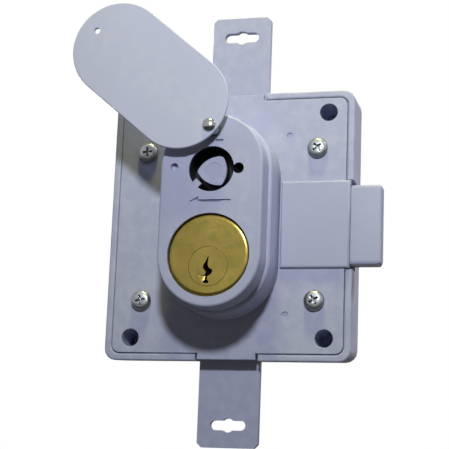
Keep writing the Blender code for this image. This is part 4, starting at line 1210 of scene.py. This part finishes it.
@dataclass
class CoverFlap:
    """The oval flap that swings over the key holes, on its domed rivet."""

    finishes: Finishes
    radius: float = 18.65
    angle: float = 139.7
    inset: float = 3.2
    length: float = 33.4
    eye: float = 1.2
    eye_inset: float = 6.6
    edge: float = 0.4
    hole: float = 1.8
    hole_edge: float = 0.2
    head: float = 2.5
    head_height: float = 1.3
    shank: float = 1.5
    shoulder: float = 3.0
    clearance: float = 0.3

    def build(self) -> None:
        """Makes the flap and the rivet."""
        box = node_box("flap")
        centre = Vector(pivot("flap_swing"))
        turn = math.radians(self.angle)
        along = Vector((math.cos(turn), math.sin(turn)))
        near = centre + along * (self.radius - self.inset)
        far = near + along * self.length
        eye = far + along * (self.radius - self.eye_inset)
        front, back, edge = box.low.y, box.high.y, self.edge
        profile = arc((self.radius - edge, front + edge), edge, -90, 0, 3)
        profile += arc((self.radius - edge, back - edge), edge, 0, 90, 3)
        shape = oval(profile, tuple(near), tuple(far), 40)
        for place, radius in ((eye, self.eye), (centre, self.hole)):
            shape = cut(shape, rod(tuple(place), radius, front - BITE, back + BITE, 28))
        soften(shape, self.hole_edge, at_level(front), 2)
        Piece("flap_plate", Body.FLAP, Slot.FLAP_PAINT, ("flap",)).make(shape, self.finishes.flap_paint)
        self.build_rivet(tuple(centre), front, back)

    def build_rivet(self, centre: Point, front: float, back: float) -> None:
        """Makes the rivet.

        Args:
            centre: The rivet's axis.
            front: Level of the flap's front.
            back: Level of its back.
        """
        end = node_box("flap_rivet").high.y
        seat = front - self.clearance
        top, foot = back + self.clearance, node_box("boss_housing").low.y - self.clearance
        turns = [math.radians(angle) for angle in range(0, 91, 10)]
        profile = [(self.head * math.sin(turn), seat - self.head_height * math.cos(turn)) for turn in turns]
        profile += [(self.shank, seat), (self.shank, top), (self.shoulder, top), (self.shoulder, foot)]
        profile += [(self.shank, foot), (self.shank, end), (0, end)]
        shape = turned(profile, centre, 40)
        Piece("rivet_dome", Body.CASE, Slot.ZINC, ("flap_rivet",)).make(shape, self.finishes.nickel)


@dataclass
class CoverScrews:
    """The four pan head screws that hold the cover."""

    finishes: Finishes
    head: float = 4.0
    height: float = 2.2
    crown: tuple[Point, ...] = (
        (0.0, 0.0), (0.35, 0.03), (0.6, 0.14), (0.8, 0.42), (0.92, 0.86), (0.985, 1.4))
    chamfer: Point = (0.15, 0.2)
    shank: float = 2.0
    tip: float = 0.4
    cross: float = 4.6
    cross_width: float = 1.0
    cross_depth: float = 1.5
    cross_taper: float = 0.55
    cross_edge: float = 0.12
    turns: tuple[float, ...] = (12.0, 31.0, 4.0, 40.0)

    def build(self) -> None:
        """Makes the screws, each with its cross at its own angle."""
        for index, turn in enumerate(self.turns, start=1):
            node = f"cover_screw_{index}"
            box = node_box(node)
            centre, end = (box.middle.x, box.middle.z), box.high.y
            top, seat = box.low.y, box.low.y + self.height
            profile = [(self.head * share, top + drop) for share, drop in self.crown]
            profile += [(self.head, seat - self.chamfer[1]), (self.head - self.chamfer[0], seat)]
            profile += [(self.shank, seat), (self.shank, end - self.tip)]
            profile += [(self.shank - self.tip, end), (0, end)]
            shape = cut(turned(profile, centre, 48), self.driver_slot(centre, top, turn))
            soften(shape, self.cross_edge, in_front_of(top + self.height / 2), 2)
            Piece(f"pan_screw_{index}", Body.CASE, Slot.ZINC, (node,)).make(shape, self.finishes.zinc)

    def driver_slot(self, centre: Point, top: float, turn: float) -> Shape:
        """The tapering cross recess.

        Args:
            centre: The screw's axis.
            top: Level of the head's top.
            turn: The cross's angle in degrees.

        Returns:
            The tool.
        """
        long, short = self.cross / 2, self.cross_width / 2
        points: Outline = []
        for quarter in range(4):
            angle = math.radians(turn + 90 * quarter)
            for x, z in ((long, -short), (long, short), (short, short)):
                points.append((centre[0] + x * math.cos(angle) - z * math.sin(angle),
                               centre[1] + x * math.sin(angle) + z * math.cos(angle)))
        bottom = top + self.cross_depth
        tool = prism(points, top - BITE / 2, bottom)
        deep = [vert for vert in tool.verts if vert.co.y > bottom - WELD]
        move = Matrix.Translation((centre[0], 0, centre[1]))
        shrink = move @ Matrix.Diagonal((self.cross_taper, 1, self.cross_taper, 1)) @ move.inverted()
        bmesh.ops.transform(tool, matrix=shrink, verts=deep)
        return tool


@dataclass
class InnerWorks:
    """The CAD nodes, of which those that no piece replaces keep their shape."""

    finishes: Finishes

    def dress(self) -> None:
        """Gives every CAD node the finish of its slot."""
        slots = {row["node"]: row["material_slot"] for row in frame["record"]["subparts"]}
        for name, node in frame["nodes"].items():
            finish = self.finishes.for_slot(Slot(slots[name]))
            for slot in node.material_slots:
                slot.link = "OBJECT"
                slot.material = finish
        LOG.info("inner works: %d nodes take a finish", len(slots))


@dataclass(frozen=True)
class Lamp:
    """A round soft lamp, with its places and size in metres and its power in watts."""

    name: str
    place: Place
    aim: Place
    size: float
    power: float
    colour: Place

    def hang(self) -> None:
        """Hangs the lamp, turned to the point that it faces."""
        data = bpy.data.lights.new(self.name, "AREA")
        data.shape = "DISK"
        data.size = self.size
        data.energy = self.power
        data.color = self.colour
        away = Vector(self.place) - Vector(self.aim)
        turn = away.to_track_quat("Z", "Y").to_matrix().to_4x4()
        add_object(self.name, data).matrix_world = Matrix.Translation(self.place) @ turn


@dataclass
class Studio:
    """The camera, the lamps, the floor and the background."""

    camera_place: Place = (0.1279, -0.5074, -0.1066)
    yaw: float = 14.83
    pitch: float = 11.888
    roll: float = -2.241
    lens: float = 106.8
    lamps: tuple[Lamp, ...] = (
        Lamp("key", (0.072, -0.385, 0.150), (0.062, 0.0, 0.120), 0.045, 1.18, (0.94, 0.965, 1.0)),
        Lamp("window", (0.02, -0.14, 0.60), (-0.03, -0.017, 0.02), 0.10, 3.0, (1.0, 0.95, 0.34)),
        Lamp("side", (0.42, 0.05, 0.46), (0.04, 0.0, 0.0), 0.12, 1.6, (1.0, 0.95, 1.0)),
        Lamp("back", (-0.35, 0.55, 0.30), (0.0, 0.0, 0.0), 0.30, 6.0, (1.0, 1.0, 1.0)))
    floor_level: float = -0.125
    floor_size: float = 3.0
    floor_tone: float = 0.30
    floor_glow: float = 0.58
    floor_bounce: float = 0.05
    sky: Colour = (1.0, 0.94, 0.60, 1)
    sky_level: float = 0.012

    def build(self) -> None:
        """Sets the scene around the lock."""
        self.place_camera()
        for lamp in self.lamps:
            lamp.hang()
        self.lay_floor()
        self.light_world()
        bpy.context.scene.view_settings.view_transform = "Standard"

    def place_camera(self) -> None:
        """Puts the camera where the photograph was taken."""
        data = bpy.data.cameras.new("camera")
        data.lens = self.lens
        data.clip_start = 0.01
        camera = add_object("camera", data)
        turn = rotation(self.yaw, "Z") @ rotation(self.pitch, "X") @ rotation(self.roll, "Y")
        camera.matrix_world = Matrix.Translation(self.camera_place) @ (turn @ rotation(90, "X"))
        bpy.context.scene.camera = camera

    def lay_floor(self) -> None:
        """Lays a plain floor under the lock, pale where the camera sees it and dim for all other light."""
        shape = bmesh.new()
        bmesh.ops.create_grid(shape, x_segments=1, y_segments=1, size=self.floor_size / 2,
                              matrix=Matrix.Translation((0, 0, self.floor_level)))
        mesh = mesh_of("floor", shape)
        made, graph, shader = start_material("pale_floor")
        seen = graph.node("ShaderNodeLightPath").outputs["Is Camera Ray"]
        greys = [(tone, tone, tone, 1) for tone in (self.floor_bounce, self.floor_tone, 0.0, self.floor_glow)]
        graph.feed(shader, {
            "Base Color": graph.blend(seen, *greys[:2]),
            "Emission Color": graph.blend(seen, *greys[2:]),
            "Emission Strength": 1.0,
            "Roughness": 0.8,
        })
        mesh.materials.append(made)
        floor = add_object("floor", mesh)

    def light_world(self) -> None:
        """Gives a soft light all round, and white where the camera and the metals look."""
        world = bpy.data.worlds.new("studio")
        world.use_nodes = True
        graph = Graph(world.node_tree)
        world.node_tree.nodes.clear()
        path = graph.node("ShaderNodeLightPath")
        seen = graph.maths("MAXIMUM", path.outputs["Is Camera Ray"], path.outputs["Is Glossy Ray"])
        seen = graph.maths("MAXIMUM", seen, path.outputs["Is Transmission Ray"])
        soft = graph.node("ShaderNodeBackground", {"Color": self.sky, "Strength": self.sky_level})
        white = graph.node("ShaderNodeBackground", {"Color": (1, 1, 1, 1), "Strength": 1.0})
        both = graph.node("ShaderNodeMixShader", {0: seen, 1: soft.outputs[0], 2: white.outputs[0]})
        graph.node("ShaderNodeOutputWorld", {"Surface": both.outputs[0]})
        bpy.context.scene.world = world


def main() -> None:
    """Builds and dresses the lock, piece by piece."""
    logging.basicConfig(level=logging.INFO, format="%(name)s: %(message)s")
    finishes = Finishes(Effects())
    InnerWorks(finishes).dress()
    for part in (CaseTray, CoverPlate, BossHousing, SpindleEnd, KeyCylinder, SideBolt, SlidingBars, CoverFlap,
                 CoverScrews):
        part(finishes).build()
    Studio().build()


if __name__ == "__main__":
    main()
